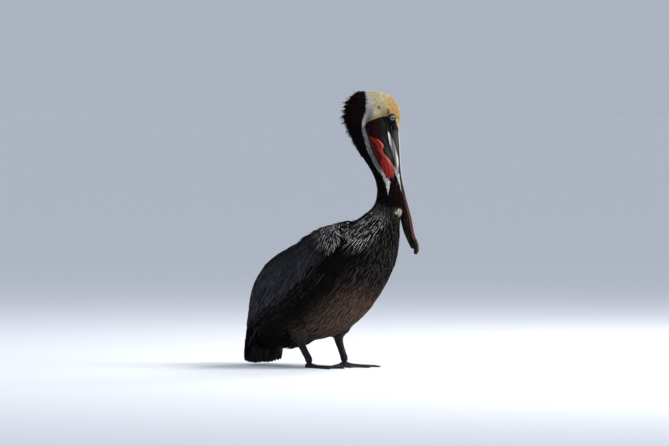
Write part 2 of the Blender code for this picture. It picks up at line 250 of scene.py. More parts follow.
def normals_of(piece: bpy.types.Object) -> Numbers:
    """The normal at every vertex, as rows.

    Args:
        piece: The mesh.

    Returns:
        A row for every vertex.
    """
    flat = np.empty(len(piece.data.vertices) * 3)
    piece.data.vertex_normals.foreach_get("vector", flat)
    return flat.reshape(-1, 3)


def drawn_out(
    corners: int, stations: list[tuple[float, float, float]], ridge: float = 1.0
) -> bpy.types.Object:
    """A closed form along Y, extruded from a ring through stations.

    Args:
        corners: How many corners its section has.
        stations: Places forward and up, each with the half width there.
        ridge: Its thickness as a share of its width.

    Returns:
        The form.
    """
    object_mode()
    (here, level, width), *rest = stations
    upright = (math.pi / 2, 0.0, 0.0)
    bpy.ops.mesh.primitive_circle_add(vertices=corners, radius=width, fill_type="NGON", rotation=upright)
    piece = bpy.context.object
    settle(piece)
    bpy.ops.object.mode_set(mode="EDIT")
    bpy.ops.mesh.select_all(action="SELECT")
    for forward, up, wide in rest:
        step = {"value": (0.0, forward - here, up - level), "orient_type": "GLOBAL"}
        bpy.ops.mesh.extrude_region_move(TRANSFORM_OT_translate=step)
        ratio = wide / width
        bpy.ops.transform.resize(value=(ratio, 1.0, ratio), center_override=(0.0, forward, up))
        here, level, width = forward, up, wide
    bpy.ops.mesh.select_all(action="SELECT")
    bpy.ops.mesh.remove_doubles(threshold=1e-5)
    bpy.ops.transform.resize(value=(1.0, 1.0, ridge), center_override=(0.0, 0.0, 0.0))
    bpy.ops.mesh.normals_make_consistent(inside=False)
    bpy.ops.object.mode_set(mode="OBJECT")
    return piece


def globe(radius: float, segments: int, rings: int, place: Vector, turn: Euler) -> bpy.types.Object:
    """A sphere at this place, with its pole turned.

    Args:
        radius: Its radius.
        segments: How many segments it has.
        rings: How many rings it has.
        place: Its middle.
        turn: Its turn.

    Returns:
        The sphere.
    """
    object_mode()
    bpy.ops.mesh.primitive_uv_sphere_add(
        segments=segments, ring_count=rings, radius=radius, location=place, rotation=turn
    )
    piece = bpy.context.object
    settle(piece)
    return piece


def give_colour(piece: bpy.types.Object, name: str, colours: Numbers) -> None:
    """Stores a colour, with its alpha, on every vertex.

    Args:
        piece: The mesh.
        name: The colours' name.
        colours: A row for every vertex.
    """
    if colours.shape[1] == 3:
        colours = np.column_stack([colours, np.ones(len(colours))])
    made = piece.data.attributes.new(name, "FLOAT_COLOR", "POINT")
    made.data.foreach_set("color", colours.astype(np.float32).ravel())


def give_number(piece: bpy.types.Object, name: str, numbers: Numbers) -> None:
    """Stores a number on every vertex."""
    made = piece.data.attributes.new(name, "FLOAT", "POINT")
    made.data.foreach_set("value", numbers.astype(np.float32))


# ---- Shader maths ----------------------------
class Reading:
    """A number in a shader, which can be used in sums, differences and products."""

    def __init__(self, shader: "Shader", socket: bpy.types.NodeSocket) -> None:
        """Holds a socket and its shader."""
        self.shader, self.socket = shader, socket

    def __add__(self, other: "Reading | float") -> "Reading":
        """The sum."""
        return self.shader.maths("ADD", self, other)

    def __sub__(self, other: "Reading | float") -> "Reading":
        """The difference."""
        return self.shader.maths("SUBTRACT", self, other)

    def __rsub__(self, other: float) -> "Reading":
        """The difference, the other way round."""
        return self.shader.maths("SUBTRACT", other, self)

    def __mul__(self, other: "Reading | float") -> "Reading":
        """The product."""
        return self.shader.maths("MULTIPLY", self, other)

    __radd__ = __add__
    __rmul__ = __mul__


class Shader:
    """The nodes of one material."""

    def __init__(self, name: str) -> None:
        """Starts a new material.

        Args:
            name: Its name.
        """
        self.material = bpy.data.materials.new(name)
        self.material.use_nodes = True
        self.tree = self.material.node_tree
        self.surface = self.tree.nodes["Principled BSDF"]

    def node(self, kind: str, settings: dict | None = None, inputs: dict | None = None) -> bpy.types.Node:
        """Adds a node.

        Args:
            kind: The node's type, without the words ShaderNode in front.
            settings: The node's own choices, such as an operation.
            inputs: Values, readings or sockets for its inputs, by name or by number.

        Returns:
            The node.
        """
        made = self.tree.nodes.new("ShaderNode" + kind)
        for name, value in (settings or {}).items():
            setattr(made, name, value)
        for name, value in (inputs or {}).items():
            self.feed(made.inputs[name], value)
        return made

    def feed(self, socket: bpy.types.NodeSocket, value: object) -> None:
        """Links a reading or a socket to an input, or sets the input's own value.

        Args:
            socket: The input.
            value: What it is fed.
        """
        if isinstance(value, Reading):
            value = value.socket
        if isinstance(value, bpy.types.NodeSocket):
            self.tree.links.new(value, socket)
        elif isinstance(value, tuple) and len(value) == 3 and socket.type == "RGBA":
            socket.default_value = (*value, 1.0)
        else:
            socket.default_value = value

    def maths(self, operation: str, *terms: "Reading | float") -> Reading:
        """A Math node over the terms."""
        made = self.node("Math", {"operation": operation}, dict(enumerate(terms)))
        return Reading(self, made.outputs[0])

    def step(self, low: float, high: float, value: Reading) -> Reading:
        """A smooth step from 0 at low to 1 at high.

        Args:
            low: Where the step begins.
            high: Where it ends.
            value: The reading.

        Returns:
            The step.
        """
        ends = {"Value": value, "From Min": low, "From Max": high}
        made = self.node("MapRange", {"interpolation_type": "SMOOTHSTEP"}, ends)
        return Reading(self, made.outputs[0])

    def mix(self, share: Reading, first: object, second: object) -> bpy.types.NodeSocket:
        """Two colours or their sockets mixed, with this share of the second."""
        return self.node("Mix", {"data_type": "RGBA"}, {0: share, 6: first, 7: second}).outputs[2]

    def dimmed(self, colour: bpy.types.NodeSocket, share: Reading) -> bpy.types.NodeSocket:
        """A colour times a number."""
        return self.node("VectorMath", {"operation": "SCALE"}, {0: colour, "Scale": share}).outputs[0]

    def place(self) -> bpy.types.NodeSocket:
        """The place on the object, in metres."""
        return self.node("TexCoord").outputs["Object"]

    def stretched(self, scale: tuple[float, float, float]) -> bpy.types.NodeSocket:
        """The place on the object, stretched."""
        return self.node("Mapping", None, {"Vector": self.place(), "Scale": scale}).outputs[0]

    def noise(self, scale: float, detail: float = 2.0, where: object = None) -> Reading:
        """Cloudy noise from 0 to 1, with this many spots to the metre."""
        inputs = {"Vector": where or self.place(), "Scale": scale, "Detail": detail}
        return Reading(self, self.node("TexNoise", None, inputs).outputs[0])

    def cells(self, scale: float) -> Reading:
        """The distance to the edges of a net of cells."""
        inputs = {"Vector": self.place(), "Scale": scale}
        return Reading(self, self.node("TexVoronoi", {"feature": "DISTANCE_TO_EDGE"}, inputs).outputs[0])

    def colour(self, name: str) -> tuple[bpy.types.NodeSocket, Reading]:
        """A colour stored on the mesh, and its alpha."""
        made = self.node("Attribute", {"attribute_name": name})
        return made.outputs["Color"], Reading(self, made.outputs["Alpha"])

    def number(self, name: str) -> Reading:
        """A number stored on the mesh."""
        return Reading(self, self.node("Attribute", {"attribute_name": name}).outputs["Fac"])

    def vane(self) -> tuple[Reading, Reading]:
        """How far out from a feather's shaft (0 to 1) and how far along the feather (0 to 1).

        Returns:
            Both shares.
        """
        made = self.node("UVMap", {"uv_map": "Vane"})
        parts = self.node("SeparateXYZ", None, {0: made.outputs[0]})
        across, along = Reading(self, parts.outputs[0]), Reading(self, parts.outputs[1])
        return self.maths("ABSOLUTE", across * 2.0 - 1.0), along

    def relief(self, height: Reading, depth: float, strength: float) -> bpy.types.NodeSocket:
        """A bump of this depth in metres, for the surface's normal."""
        inputs = {"Height": height, "Distance": depth, "Strength": strength}
        return self.node("Bump", None, inputs).outputs[0]

    def finish(self, **inputs: object) -> bpy.types.Material:
        """Feeds the surface's inputs, named with _ for a space, and gives the material.

        Args:
            inputs: Values, readings or sockets.

        Returns:
            The material.
        """
        for name, value in inputs.items():
            self.feed(self.surface.inputs[name.replace("_", " ")], value)
        return self.material


# ---- Finishes --------------------------------
@dataclass(frozen=True)
class Plumage:
    """Feathers: a ground colour, a pale streak along the shaft, fine barbs, and painted shade towards the
    root.
    """

    name: str
    streak: float = 0.38  # half width of the streak, as a share of the vane
    streak_start: float = 0.30  # how far along the feather the streak begins
    barbs: float = 30.0  # barbs along one feather
    roughness: float = 0.62
    gloss: float = 0.03

    def material(self) -> bpy.types.Material:
        """Makes the material.

        Returns:
            The material.
        """
        s = Shader(self.name)
        ground, _ = s.colour("ground")
        streak, strength = s.colour("streak")
        out, along = s.vane()
        mottle = s.noise(260.0, 3.0)
        barbs = s.maths("SINE", (along * self.barbs + out * 5.0 + mottle * 2.0) * math.tau) * 0.5 + 0.5
        shaft = s.step(self.streak, self.streak * 0.25, out)
        frayed = shaft * s.step(self.streak_start, self.streak_start + 0.25, along) * strength
        frayed = frayed * (0.75 + barbs * 0.25)
        # Darker towards the root: painted shade where the feathers overlap, times the mottle's and the barbs'
        # own tone.
        shade = (0.62 + 0.38 * s.step(0.05, 0.55, along)) * (0.80 + 0.40 * mottle) * (0.90 + 0.16 * barbs)
        base = s.mix(frayed, s.dimmed(ground, shade), streak)
        rough = self.roughness + 0.12 * mottle
        quill = s.step(0.16, 0.0, out)
        normal = s.relief(barbs * 0.5 + quill, 0.00035, 0.55)
        return s.finish(Base_Color=base, Roughness=rough, Normal=normal, Specular_IOR_Level=self.gloss)


@dataclass(frozen=True)
class Hide:
    """Bare or down-covered skin that takes its colours from the mesh, with creases or scales."""

    name: str
    roughness: float
    creases: float  # creases to the metre
    depth: float  # their depth
    scales: float = 0.0  # horny scales to the metre, or none
    mottle: float = 0.3
    gloss: float = 0.22

    def material(self) -> bpy.types.Material:
        """Makes the material.

        Returns:
            The material.
        """
        s = Shader(self.name)
        ground, _ = s.colour("ground")
        fine = s.noise(self.creases, 5.0)
        broad = s.noise(self.creases * 0.22, 3.0)
        height = fine * 0.7 + broad * 0.6
        shade = (1.0 - self.mottle * 0.5) + self.mottle * (fine * 0.6 + broad * 0.6)
        rough = self.roughness + 0.15 * (fine - 0.5)
        if self.scales:
            plates = s.step(0.0, 0.22, s.cells(self.scales))
            height = height * 0.35 + plates
            # Darker in the grooves between the scales: painted shade.
            shade = shade * (0.62 + 0.42 * plates)
            rough = rough + 0.12 * (1.0 - plates)
        normal = s.relief(height, self.depth, 0.8)
        base = s.dimmed(ground, shade)
        return s.finish(Base_Color=base, Roughness=rough, Normal=normal, Specular_IOR_Level=self.gloss)


@dataclass(frozen=True)
class Horn:
    """Bill horn: the mesh's colours, with fine streaks down the bill and worn flakes."""

    name: str
    roughness: float = 0.42
    gloss: float = 0.08

    def material(self) -> bpy.types.Material:
        """Makes the material.

        Returns:
            The material.
        """
        s = Shader(self.name)
        ground, _ = s.colour("ground")
        grain = s.noise(520.0, 4.0, s.stretched((1.0, 1.0, 0.08)))
        blotch = s.noise(90.0, 3.0, s.stretched((1.0, 1.0, 0.4)))
        flakes = s.step(0.52, 0.68, s.noise(240.0, 4.0, s.stretched((1.0, 1.0, 0.25))))
        shade = 0.66 + 0.42 * grain + 0.30 * blotch
        base = s.mix(flakes * 0.05, s.dimmed(ground, shade), (0.42, 0.38, 0.33))
        rough = self.roughness + 0.22 * grain - 0.08
        normal = s.relief(grain + flakes * 0.4, 0.00030, 0.6)
        return s.finish(Base_Color=base, Roughness=rough, Normal=normal, Specular_IOR_Level=self.gloss)


@dataclass(frozen=True)
class EyeGlass:
    """The eye: dark pupil, pale blue iris with fine rays, dark rim and a wet shine."""

    name: str
    pupil: float = 0.23  # reaches of the rings, as shares of a quarter turn from the gaze
    iris: float = 0.46

    def material(self) -> bpy.types.Material:
        """Makes the material.

        Returns:
            The material.
        """
        s = Shader(self.name)
        out = s.number("gaze")
        rays = s.noise(900.0, 3.0)
        iris = s.mix(s.step(self.pupil, self.iris, out), (0.12, 0.155, 0.23), (0.36, 0.38, 0.43))
        iris = s.mix(rays * 0.5, iris, (0.10, 0.13, 0.19))
        inner = s.mix(s.step(self.pupil, self.pupil + 0.03, out), (0.004, 0.004, 0.006), iris)
        base = s.mix(s.step(self.iris, self.iris + 0.06, out), inner, (0.020, 0.010, 0.010))
        return s.finish(Base_Color=base, Roughness=0.08 + 0.10 * rays, Coat_Weight=1.0, Coat_Roughness=0.02)


@dataclass(frozen=True)
class Ground:
    """The studio's plain pale floor."""

    name: str
    colour: Colour

    def material(self) -> bpy.types.Material:
        """Makes the material.

        Returns:
            The material.
        """
        s = Shader(self.name)
        speck = s.noise(55.0, 4.0)
        base = s.mix(speck * 0.10, self.colour, tuple(0.86 * c for c in self.colour))
        return s.finish(Base_Color=base, Roughness=0.82 + 0.1 * speck)


# ---- The bird's middle line and head plane ---
@dataclass
class MiddleLine:
    """A line through a part of the bird, by named stations.

    A station is its place forward of the ankles, to the left and up, and the way its section faces.
    """

    stations: dict[str, tuple[float, float, float, float]]
    near_reach: float  # how far out a ray towards the line starts, at the line's start
    far_reach: float  # and at its end
    narrow_at: tuple[float, float] = (0.0, 1.0)  # between these places the reach changes

    def __post_init__(self) -> None:
        """Measures the line."""
        self.rows = np.array(list(self.stations.values()), float)
        steps = np.linalg.norm(np.diff(self.rows[:, :3], axis=0), axis=1)
        self.knots = np.concatenate([[0.0], np.cumsum(steps)])
        self.at = dict(zip(self.stations, self.knots, strict=True))
        self.length = float(self.knots[-1])

    def between(self, first: str, second: str, share: float) -> float:
        """The place this share of the way from one station to another."""
        return float(self.at[first] + (self.at[second] - self.at[first]) * share)

    def read(self, s: Numbers) -> Numbers:
        """The stations' values at places on a smooth curve through them.

        Args:
            s: Places along the line.

        Returns:
            A row of values for each place.
        """
        slopes = np.gradient(self.rows, self.knots, axis=0)
        held = np.clip(s, 0, self.length)
        i = np.clip(np.searchsorted(self.knots, held, side="right") - 1, 0, len(self.knots) - 2)
        step = (self.knots[i + 1] - self.knots[i])[:, None]
        u = (held - self.knots[i])[:, None] / step
        rows = (
            (2 * u**3 - 3 * u**2 + 1) * self.rows[i]
            + (u**3 - 2 * u**2 + u) * step * slopes[i]
            + (3 * u**2 - 2 * u**3) * self.rows[i + 1]
            + (u**3 - u**2) * step * slopes[i + 1]
        )
        ends = slopes[np.where(s < 0, 0, -1)]
        return rows + ends * (s - held)[:, None]

    def frames(self, s: Numbers) -> tuple[Numbers, Numbers, Numbers, Numbers]:
        """The centre at each place, and the directions along the line, to its left and to its back.

        Args:
            s: Places along the line.

        Returns:
            The centres, and the three directions at each.
        """
        near = 1e-4
        rows = self.read(s)
        centre = world(rows[:, 0], rows[:, 1], rows[:, 2])
        ahead, behind = self.read(s + near), self.read(s - near)
        along = unit(world(*ahead.T[:3]) - world(*behind.T[:3]))
        turn = np.radians(rows[:, 3])
        left = np.stack([np.cos(turn), np.sin(turn), np.zeros(len(s))], axis=1)
        left = square_to(left, along)
        return centre, along, left, np.cross(along, left)

    def reach(self, s: Numbers) -> Numbers:
        """How far out a ray towards the line starts."""
        return np.interp(s, self.narrow_at, (self.near_reach, self.far_reach))

    def measure(self, points: Numbers) -> tuple[Numbers, Numbers]:
        """The place along the line and the angle round it of each point.

        Args:
            points: The points.

        Returns:
            The places and the angles.
        """
        samples, batch = 420, 8000
        s = np.linspace(0, self.length, samples)
        centre, along, left, back = self.frames(s)
        offset = np.sum(centre * along, axis=1)
        square = np.sum(centre**2, axis=1)
        found = np.empty(len(points), int)
        for start in range(0, len(points), batch):
            rows = points[start : start + batch]
            past = np.abs(rows @ along.T - offset)
            apart = np.sum(rows**2, axis=1)[:, None] - 2 * rows @ centre.T + square
            found[start : start + batch] = np.argmin(past + 0.25 * np.sqrt(np.maximum(apart, 0)), axis=1)
        out = points - centre[found]
        across = np.sum(out * left[found], axis=1)
        behind = np.sum(out * back[found], axis=1)
        return s[found], np.degrees(np.arctan2(across, behind))


@dataclass(frozen=True)
class HeadPlane:
    """The head's middle plane, which the head and bill share."""

    turn: float = 28.0
    axis: float = 0.117  # how far forward the plane crosses the trunk's middle

    def measure(self, points: Numbers) -> tuple[Numbers, Numbers, Numbers]:
        """How far each point reaches along the plane, how far it is to the plane's left, and up.

        Args:
            points: The points.

        Returns:
            The three measures.
        """
        forward, left = -points[:, 1] - STANCE - self.axis, points[:, 0]
        c, s = math.cos(math.radians(self.turn)), math.sin(math.radians(self.turn))
        return forward * c + left * s, left * c - forward * s, points[:, 2]

    def direction(self, reach: float, aside: float, up: float) -> Vector:
        """The direction that goes this far along the plane, to its left and up."""
        c, s = math.cos(math.radians(self.turn)), math.sin(math.radians(self.turn))
        return Vector((reach * s + aside * c, aside * s - reach * c, up)).normalized()


HEAD = HeadPlane()


# From above the tail, through trunk and neck and over the crown, to the root of the bill.
BODY = MiddleLine(
    {
        "wing_ends": (-0.229, 0.000, 0.056, 0),
        "tail_root": (-0.207, 0.000, 0.092, 0),
        "vent": (-0.160, 0.000, 0.128, 0),
        "rump": (-0.100, 0.000, 0.162, 0),
        "flank": (-0.034, 0.000, 0.198, 0),
        "belly": (0.028, 0.000, 0.242, 0),
        "breast": (0.085, 0.000, 0.294, 0),
        "shoulder": (0.135, 0.000, 0.341, 0),
        "collar": (0.178, 0.000, 0.385, 0),
        "neck_root": (0.208, 0.000, 0.426, 0),
        "neck_foot": (0.219, 0.000, 0.468, 0),
        "neck_bend": (0.214, 0.000, 0.508, 0),
        "neck_middle": (0.190, 0.000, 0.548, 0),
        "neck_high": (0.159, 0.000, 0.583, 0),
        "neck_top": (0.134, 0.000, 0.618, 4),
        "nape": (0.119, 0.001, 0.652, 14),
        "crest": (0.118, 0.003, 0.685, 24),
        "hindcrown": (0.135, 0.011, 0.708, 28),
        "crown": (0.161, 0.025, 0.710, 28),
        "ear": (0.183, 0.036, 0.698, 28),
        "eye": (0.197, 0.043, 0.678, 28),
        "lores": (0.204, 0.047, 0.655, 28),
    },
    near_reach=0.22,
    far_reach=0.075,
    narrow_at=(0.50, 0.62),
)


# ---- The outside that feathers lie on --------
FLESH = (
    "trunk", "neck_lower", "neck_middle", "neck_upper", "head", "pouch", "wing_right", "wing_left", "tail"
)
THIGHS = ("thigh_right", "thigh_left")
LEGS = ("shank_right", "shank_left", "foot_right", "foot_left")


def merged_flesh(nodes: tuple[str, ...], name: str, voxel: float, closing: float) -> bpy.types.Object:
    """One closed mesh over several solids, with the cuts between them filled.

    Args:
        nodes: The frame's solids.
        name: The new object's name.
        voxel: The size of its faces.
        closing: How far it swells and shrinks back, to close gaps of twice that.

    Returns:
        The mesh.
    """
    piece = joined([copy_of(node) for node in nodes], name)
    apply_modifier(piece, "REMESH", mode="VOXEL", voxel_size=voxel)
    if closing:
        apply_modifier(piece, "DISPLACE", strength=closing, mid_level=0.0)
        apply_modifier(piece, "REMESH", mode="VOXEL", voxel_size=voxel)
        apply_modifier(piece, "DISPLACE", strength=-closing, mid_level=0.0)
    apply_modifier(piece, "SMOOTH", factor=0.5, iterations=4)
    piece.data.shade_smooth()
    return piece


def plumped(s: Numbers, angle: Numbers) -> Numbers:
    """How far the plumage's bed is from the solids: up on the folded wings, down under the crest.

    Args:
        s: Places along the body's line.
        angle: Angles round it.

    Returns:
        The distances outwards.
    """
    side = np.abs(angle)
    places = (0.00, 0.05, 0.10, 0.17, 0.25, 0.33, 0.40, 0.445, 0.468, 0.484, 0.492, 0.498)
    heights = (0.0, 0.003, 0.008, 0.009, 0.007, 0.007, 0.010, 0.014, 0.015, 0.012, 0.004, 0.0)
    wing = np.interp(s, places, heights)
    crest = 0.0056 * rise(0.782, 0.812, s) * rise(0.898, 0.868, s) * rise(80, 48, side)
    ruff = 0.0060 * rise(0.560, 0.588, s) * rise(0.640, 0.604, s) * rise(132, 160, side)
    return wing * rise(6, 20, side) * rise(92, 60, side) - crest + ruff


def set_back(points: Numbers) -> Numbers:
    """How the forehead's front lies back from the solids, towards the nape, for each point.

    Args:
        points: The points.

    Returns:
        The moves.
    """
    reach, _, up = HEAD.measure(points)
    furthest = 0.0050
    share = rise(0.086, 0.110, reach) * rise(0.630, 0.655, up)
    return -furthest * share[:, None] * np.array(HEAD.direction(1.0, 0.0, 0.0))


class Outside:
    """The outer surface of some of the bird's solids, read by rays towards a middle line."""

    missed = 0.02  # how far from the line a point is taken to be where a ray meets nothing

    def __init__(self, line: MiddleLine, piece: bpy.types.Object) -> None:
        """Reads the surface, and moves the body's to the plumage's bed.

        Args:
            line: The middle line.
            piece: A mesh of the solids.
        """
        self.line = line
        points = places_of(piece)
        if line is BODY:
            bed = plumped(*BODY.measure(points))
            points = points + normals_of(piece) * bed[:, None] + set_back(points)
        piece.data.calc_loop_triangles()
        flat = np.empty(len(piece.data.loop_triangles) * 3, np.int32)
        piece.data.loop_triangles.foreach_get("vertices", flat)
        self.tree = BVHTree.FromPolygons(points.tolist(), flat.reshape(-1, 3).tolist(), all_triangles=True)

    def hits(self, s: Numbers, angle: Numbers) -> tuple[Numbers, Numbers, Numbers]:
        """Where rays towards the line meet the surface.

        Args:
            s: Places along the line.
            angle: Angles round it.

        Returns:
            The points, the surface's normals there, and whether each ray met it.
        """
        centre, _, left, back = self.line.frames(s)
        turn = np.radians(angle)[:, None]
        out = left * np.sin(turn) + back * np.cos(turn)
        reach = self.line.reach(s)
        points, normals = centre + out * self.missed, out.copy()
        met = np.zeros(len(s), bool)
        starts = centre + out * reach[:, None]
        for i, (start, way) in enumerate(zip(starts.tolist(), (-out).tolist(), strict=True)):
            hit, normal, _, _ = self.tree.ray_cast(start, way, reach[i])
            if hit is not None:
                points[i], normals[i], met[i] = hit, normal, True
        return points, normals, met


# ---- Feathers --------------------------------
class Cut(Enum):
    """A feather's outline: shares of its length, each with its share of the half width."""

    HAIR = ((0.0, 0.70), (0.45, 1.00), (1.0, 0.0))
    TUFT = ((0.0, 0.45), (0.30, 1.00), (0.68, 0.72), (1.0, 0.0))
    LANCE = ((0.0, 0.30), (0.18, 0.80), (0.45, 1.00), (0.70, 0.80), (0.88, 0.42), (1.0, 0.0))
    BLADE = ((0.0, 0.30), (0.15, 0.78), (0.45, 1.00), (0.74, 0.96), (0.90, 0.66), (0.97, 0.36), (1.0, 0.06))


@dataclass
class Vane:
    """One feather, modelled once at a length and half width of 1 and then copied."""

    cut: Cut
    corners: int
    ridge: float

    def model(self) -> "Vane":
        """Draws the vane out from a small ring at its root, and keeps its points and faces.

        Returns:
            This vane.
        """
        piece = drawn_out(self.corners, [(share, 0.0, wide) for share, wide in self.cut.value], self.ridge)
        self.points = places_of(piece)
        self.loops = np.array([v for f in piece.data.polygons for v in f.vertices])
        self.totals = np.array([len(f.vertices) for f in piece.data.polygons])
        shares, widths = np.array(self.cut.value).T
        half = np.maximum(np.interp(self.points[:, 1], shares, widths), 1e-3)
        self.vane = np.column_stack([np.clip(self.points[:, 0] / half, -1, 1), self.points[:, 1]])
        bpy.data.objects.remove(piece)
        return self


SHAFT_POINTS = 6


def shaft_weights(shares: Numbers) -> Numbers:
    """Weights that read a smooth curve through a shaft's points at these shares of its length.

    Args:
        shares: The shares.

    Returns:
        A row of weights for each share.
    """
    place = shares * (SHAFT_POINTS - 1)
    i = np.clip(np.floor(place).astype(int), 0, SHAFT_POINTS - 2)
    u = place - i
    pull = (
        -0.5 * u + u**2 - 0.5 * u**3,
        1 - 2.5 * u**2 + 1.5 * u**3,
        0.5 * u + 2 * u**2 - 1.5 * u**3,
        -0.5 * u**2 + 0.5 * u**3,
    )
    weights = np.zeros((len(shares), SHAFT_POINTS))
    for offset, share in zip((-1, 0, 1, 2), pull, strict=True):
        np.add.at(weights, (np.arange(len(shares)), np.clip(i + offset, 0, SHAFT_POINTS - 1)), share)
    return weights


@dataclass
class Laid:
    """Feathers laid on the bird."""

    s: Numbers
    angle: Numbers
    shaft: Numbers  # feather, point of the shaft, place
    normal: Numbers
    half: Numbers
    roll: Numbers

    def seen(self) -> Numbers:
        """A point near the end of each feather, where it shows."""
        return self.shaft[:, SHAFT_POINTS - 2]

    def straight(self) -> Numbers:
        """How straight each feather is: its span over its length."""
        length = np.linalg.norm(np.diff(self.shaft, axis=1), axis=2).sum(axis=1)
        return np.linalg.norm(self.shaft[:, -1] - self.shaft[:, 0], axis=1) / length

    def kept(self, mask: Numbers) -> "Laid":
        """Only the feathers that the mask keeps."""
        rows = (self.s, self.angle, self.shaft, self.normal, self.half, self.roll)
        return Laid(*(row[mask] for row in rows))


Keep = Callable[[Laid], Numbers]


@dataclass
class Tract:
    """A field of feathers in staggered rows, all lying towards the tail."""

    start: float
    end: float
    edges: tuple[tuple[float, float, float], ...]  # places along the line, each with its two end angles
    rows: float  # between two rows
    apart: float  # between two feathers of a row
    length: float
    width: float
    sink: float = 0.004  # how deep the root is under the outside
    lift: float = 0.0008  # how far the tip is over it
    sweep: float = 0.0  # how far the lie turns from the line towards the belly
    stand: float = 0.0  # how steeply the feather stands up
    bend: float = 14.0  # the sharpest curve that it follows, in turns to the metre
    ruffle: float = 5.0  # disorder of the lie
    inset: float = 0.0  # how far the whole feather is under the outside
    cut: Cut = Cut.LANCE

    def roots(self, outside: Outside, chance: np.random.Generator) -> tuple[Numbers, Numbers]:
        """The places and angles of the roots.

        Args:
            outside: The surface that they lie on.
            chance: The source of their small differences.

        Returns:
            The places and the angles, by feather.
        """
        places, angles = [], []
        table = np.array(self.edges).T
        marks_round, jitter = 26, 0.14
        for i, s in enumerate(np.arange(self.start, self.end, self.rows)):
            low, high = np.interp(s, table[0], table[1]), np.interp(s, table[0], table[2])
            swing = np.linspace(low, high, marks_round)
            points, _, _ = outside.hits(np.full(marks_round, s), swing)
            run = np.concatenate([[0.0], np.cumsum(np.linalg.norm(np.diff(points, axis=0), axis=1))])
            count = max(1, round(run[-1] / self.apart))
            marks = np.arange(count) + (0.25 if i % 2 else 0.75) + chance.normal(0, jitter, count)
            angles.append(np.interp(np.clip(marks / count, 0, 1) * run[-1], run, swing))
            places.append(s + chance.normal(0, jitter * self.rows, count))
        return np.concatenate(places), wrapped(np.concatenate(angles))

    def lay(self, outside: Outside, chance: np.random.Generator) -> Laid:
        """Lays the feathers.

        Args:
            outside: The surface that they lie on.
            chance: The source of their small differences.

        Returns:
            The feathers.
        """
        s, angle = self.roots(outside, chance)
        root, normal, met = outside.hits(s, angle)
        s, angle, root, normal = s[met], angle[met], root[met], normal[met]
        count = len(s)
        centre = outside.line.frames(s)[0]
        radius = np.linalg.norm(root - centre, axis=1)
        near = 0.004
        ahead, _, _ = outside.hits(s - near, angle)
        # How much longer the way on the surface is than along the line.
        stretch = np.clip(np.linalg.norm(ahead - root, axis=1) / near, 0.5, 2.6)
        length = self.length * np.clip(1 + chance.normal(0, 0.09, count), 0.75, 1.25)
        side = np.where(angle < 0, -1.0, 1.0)
        lean = np.radians(side * self.sweep + chance.normal(0, self.ruffle, count))
        shares = np.linspace(0, 1, SHAFT_POINTS)
        run = length[:, None] * shares
        towards = s[:, None] - run * (np.cos(lean) / stretch)[:, None]
        around = angle[:, None] + np.degrees(run * (np.sin(lean) / radius)[:, None])
        points, over_there, met = outside.hits(towards.ravel(), around.ravel())
        points, over_there = points.reshape(count, -1, 3), over_there.reshape(count, -1, 3)
        met = met.reshape(count, -1, 1)
        onward = (ahead - root) / near * stretch[:, None] ** -1
        # Where a ray meets nothing, the shaft goes straight on.
        for k in range(1, SHAFT_POINTS):
            back = onward * run[:, k : k + 1] if k == 1 else points[:, k - 1] - points[:, k - 2]
            start = root if k == 1 else points[:, k - 1]
            points[:, k] = np.where(met[:, k], points[:, k], start + back)
            over_there[:, k] = np.where(met[:, k], over_there[:, k], over_there[:, k - 1])
        return self.shafts(s, angle, root, normal, run, points, over_there, chance)

    def shafts(
        self,
        s: Numbers,
        angle: Numbers,
        root: Numbers,
        normal: Numbers,
        run: Numbers,
        points: Numbers,
        over_there: Numbers,
        chance: np.random.Generator,
    ) -> Laid:
        """Bends each shaft no more than it can, and raises it from its root to its tip.

        Args:
            s: Places of the roots.
            angle: Their angles.
            root: The roots on the surface.
            normal: The surface's normals there.
            run: How far along its feather each point of a shaft is.
            points: The surface under each point.
            over_there: Its normals.
            chance: The source of small differences.

        Returns:
            The feathers.
        """
        count = len(s)
        onward = points[:, 2] - root
        onward = square_to(onward, normal)
        sideways = np.cross(onward, normal)
        apart = points - root[:, None]
        height = np.einsum("nkc,nc->nk", apart, normal)
        aside = np.einsum("nkc,nc->nk", apart, sideways)
        limit = 0.5 * self.bend * run**2  # as far as this curve leaves its tangent
        height = np.clip(height, -limit, 0.7 * limit + 0.0004)
        aside = np.clip(aside, -0.35 * run, 0.35 * run)
        onwards = np.clip(np.einsum("nkc,nc->nk", apart, onward), 0.62 * run, run)
        shares = run / run[:, -1:]
        stand = np.radians(self.stand * np.clip(1 + chance.normal(0, 0.25, count), 0.3, 1.7))[:, None]
        height = height * np.cos(stand) + run * np.sin(stand)
        onwards = onwards * np.cos(stand)
        height = height - self.sink * (1 - shares) ** 2 + self.lift * shares - self.inset
        shaft = (
            root[:, None]
            + onward[:, None] * onwards[..., None]
            + sideways[:, None] * aside[..., None]
            + normal[:, None] * height[..., None]
        )
        agree = np.einsum("nkc,nc->nk", over_there, normal)[..., None] > 0.3
        upward = normal[:, None] + np.where(agree, over_there, normal[:, None])
        upward = square_to(upward, unit(np.gradient(shaft, axis=1)))
        half = 0.5 * self.width * np.clip(1 + chance.normal(0, 0.10, count), 0.7, 1.3)
        roll = np.radians(chance.normal(0, 1.6 * self.ruffle, count))
        return Laid(s, angle, shaft, upward, half, roll)


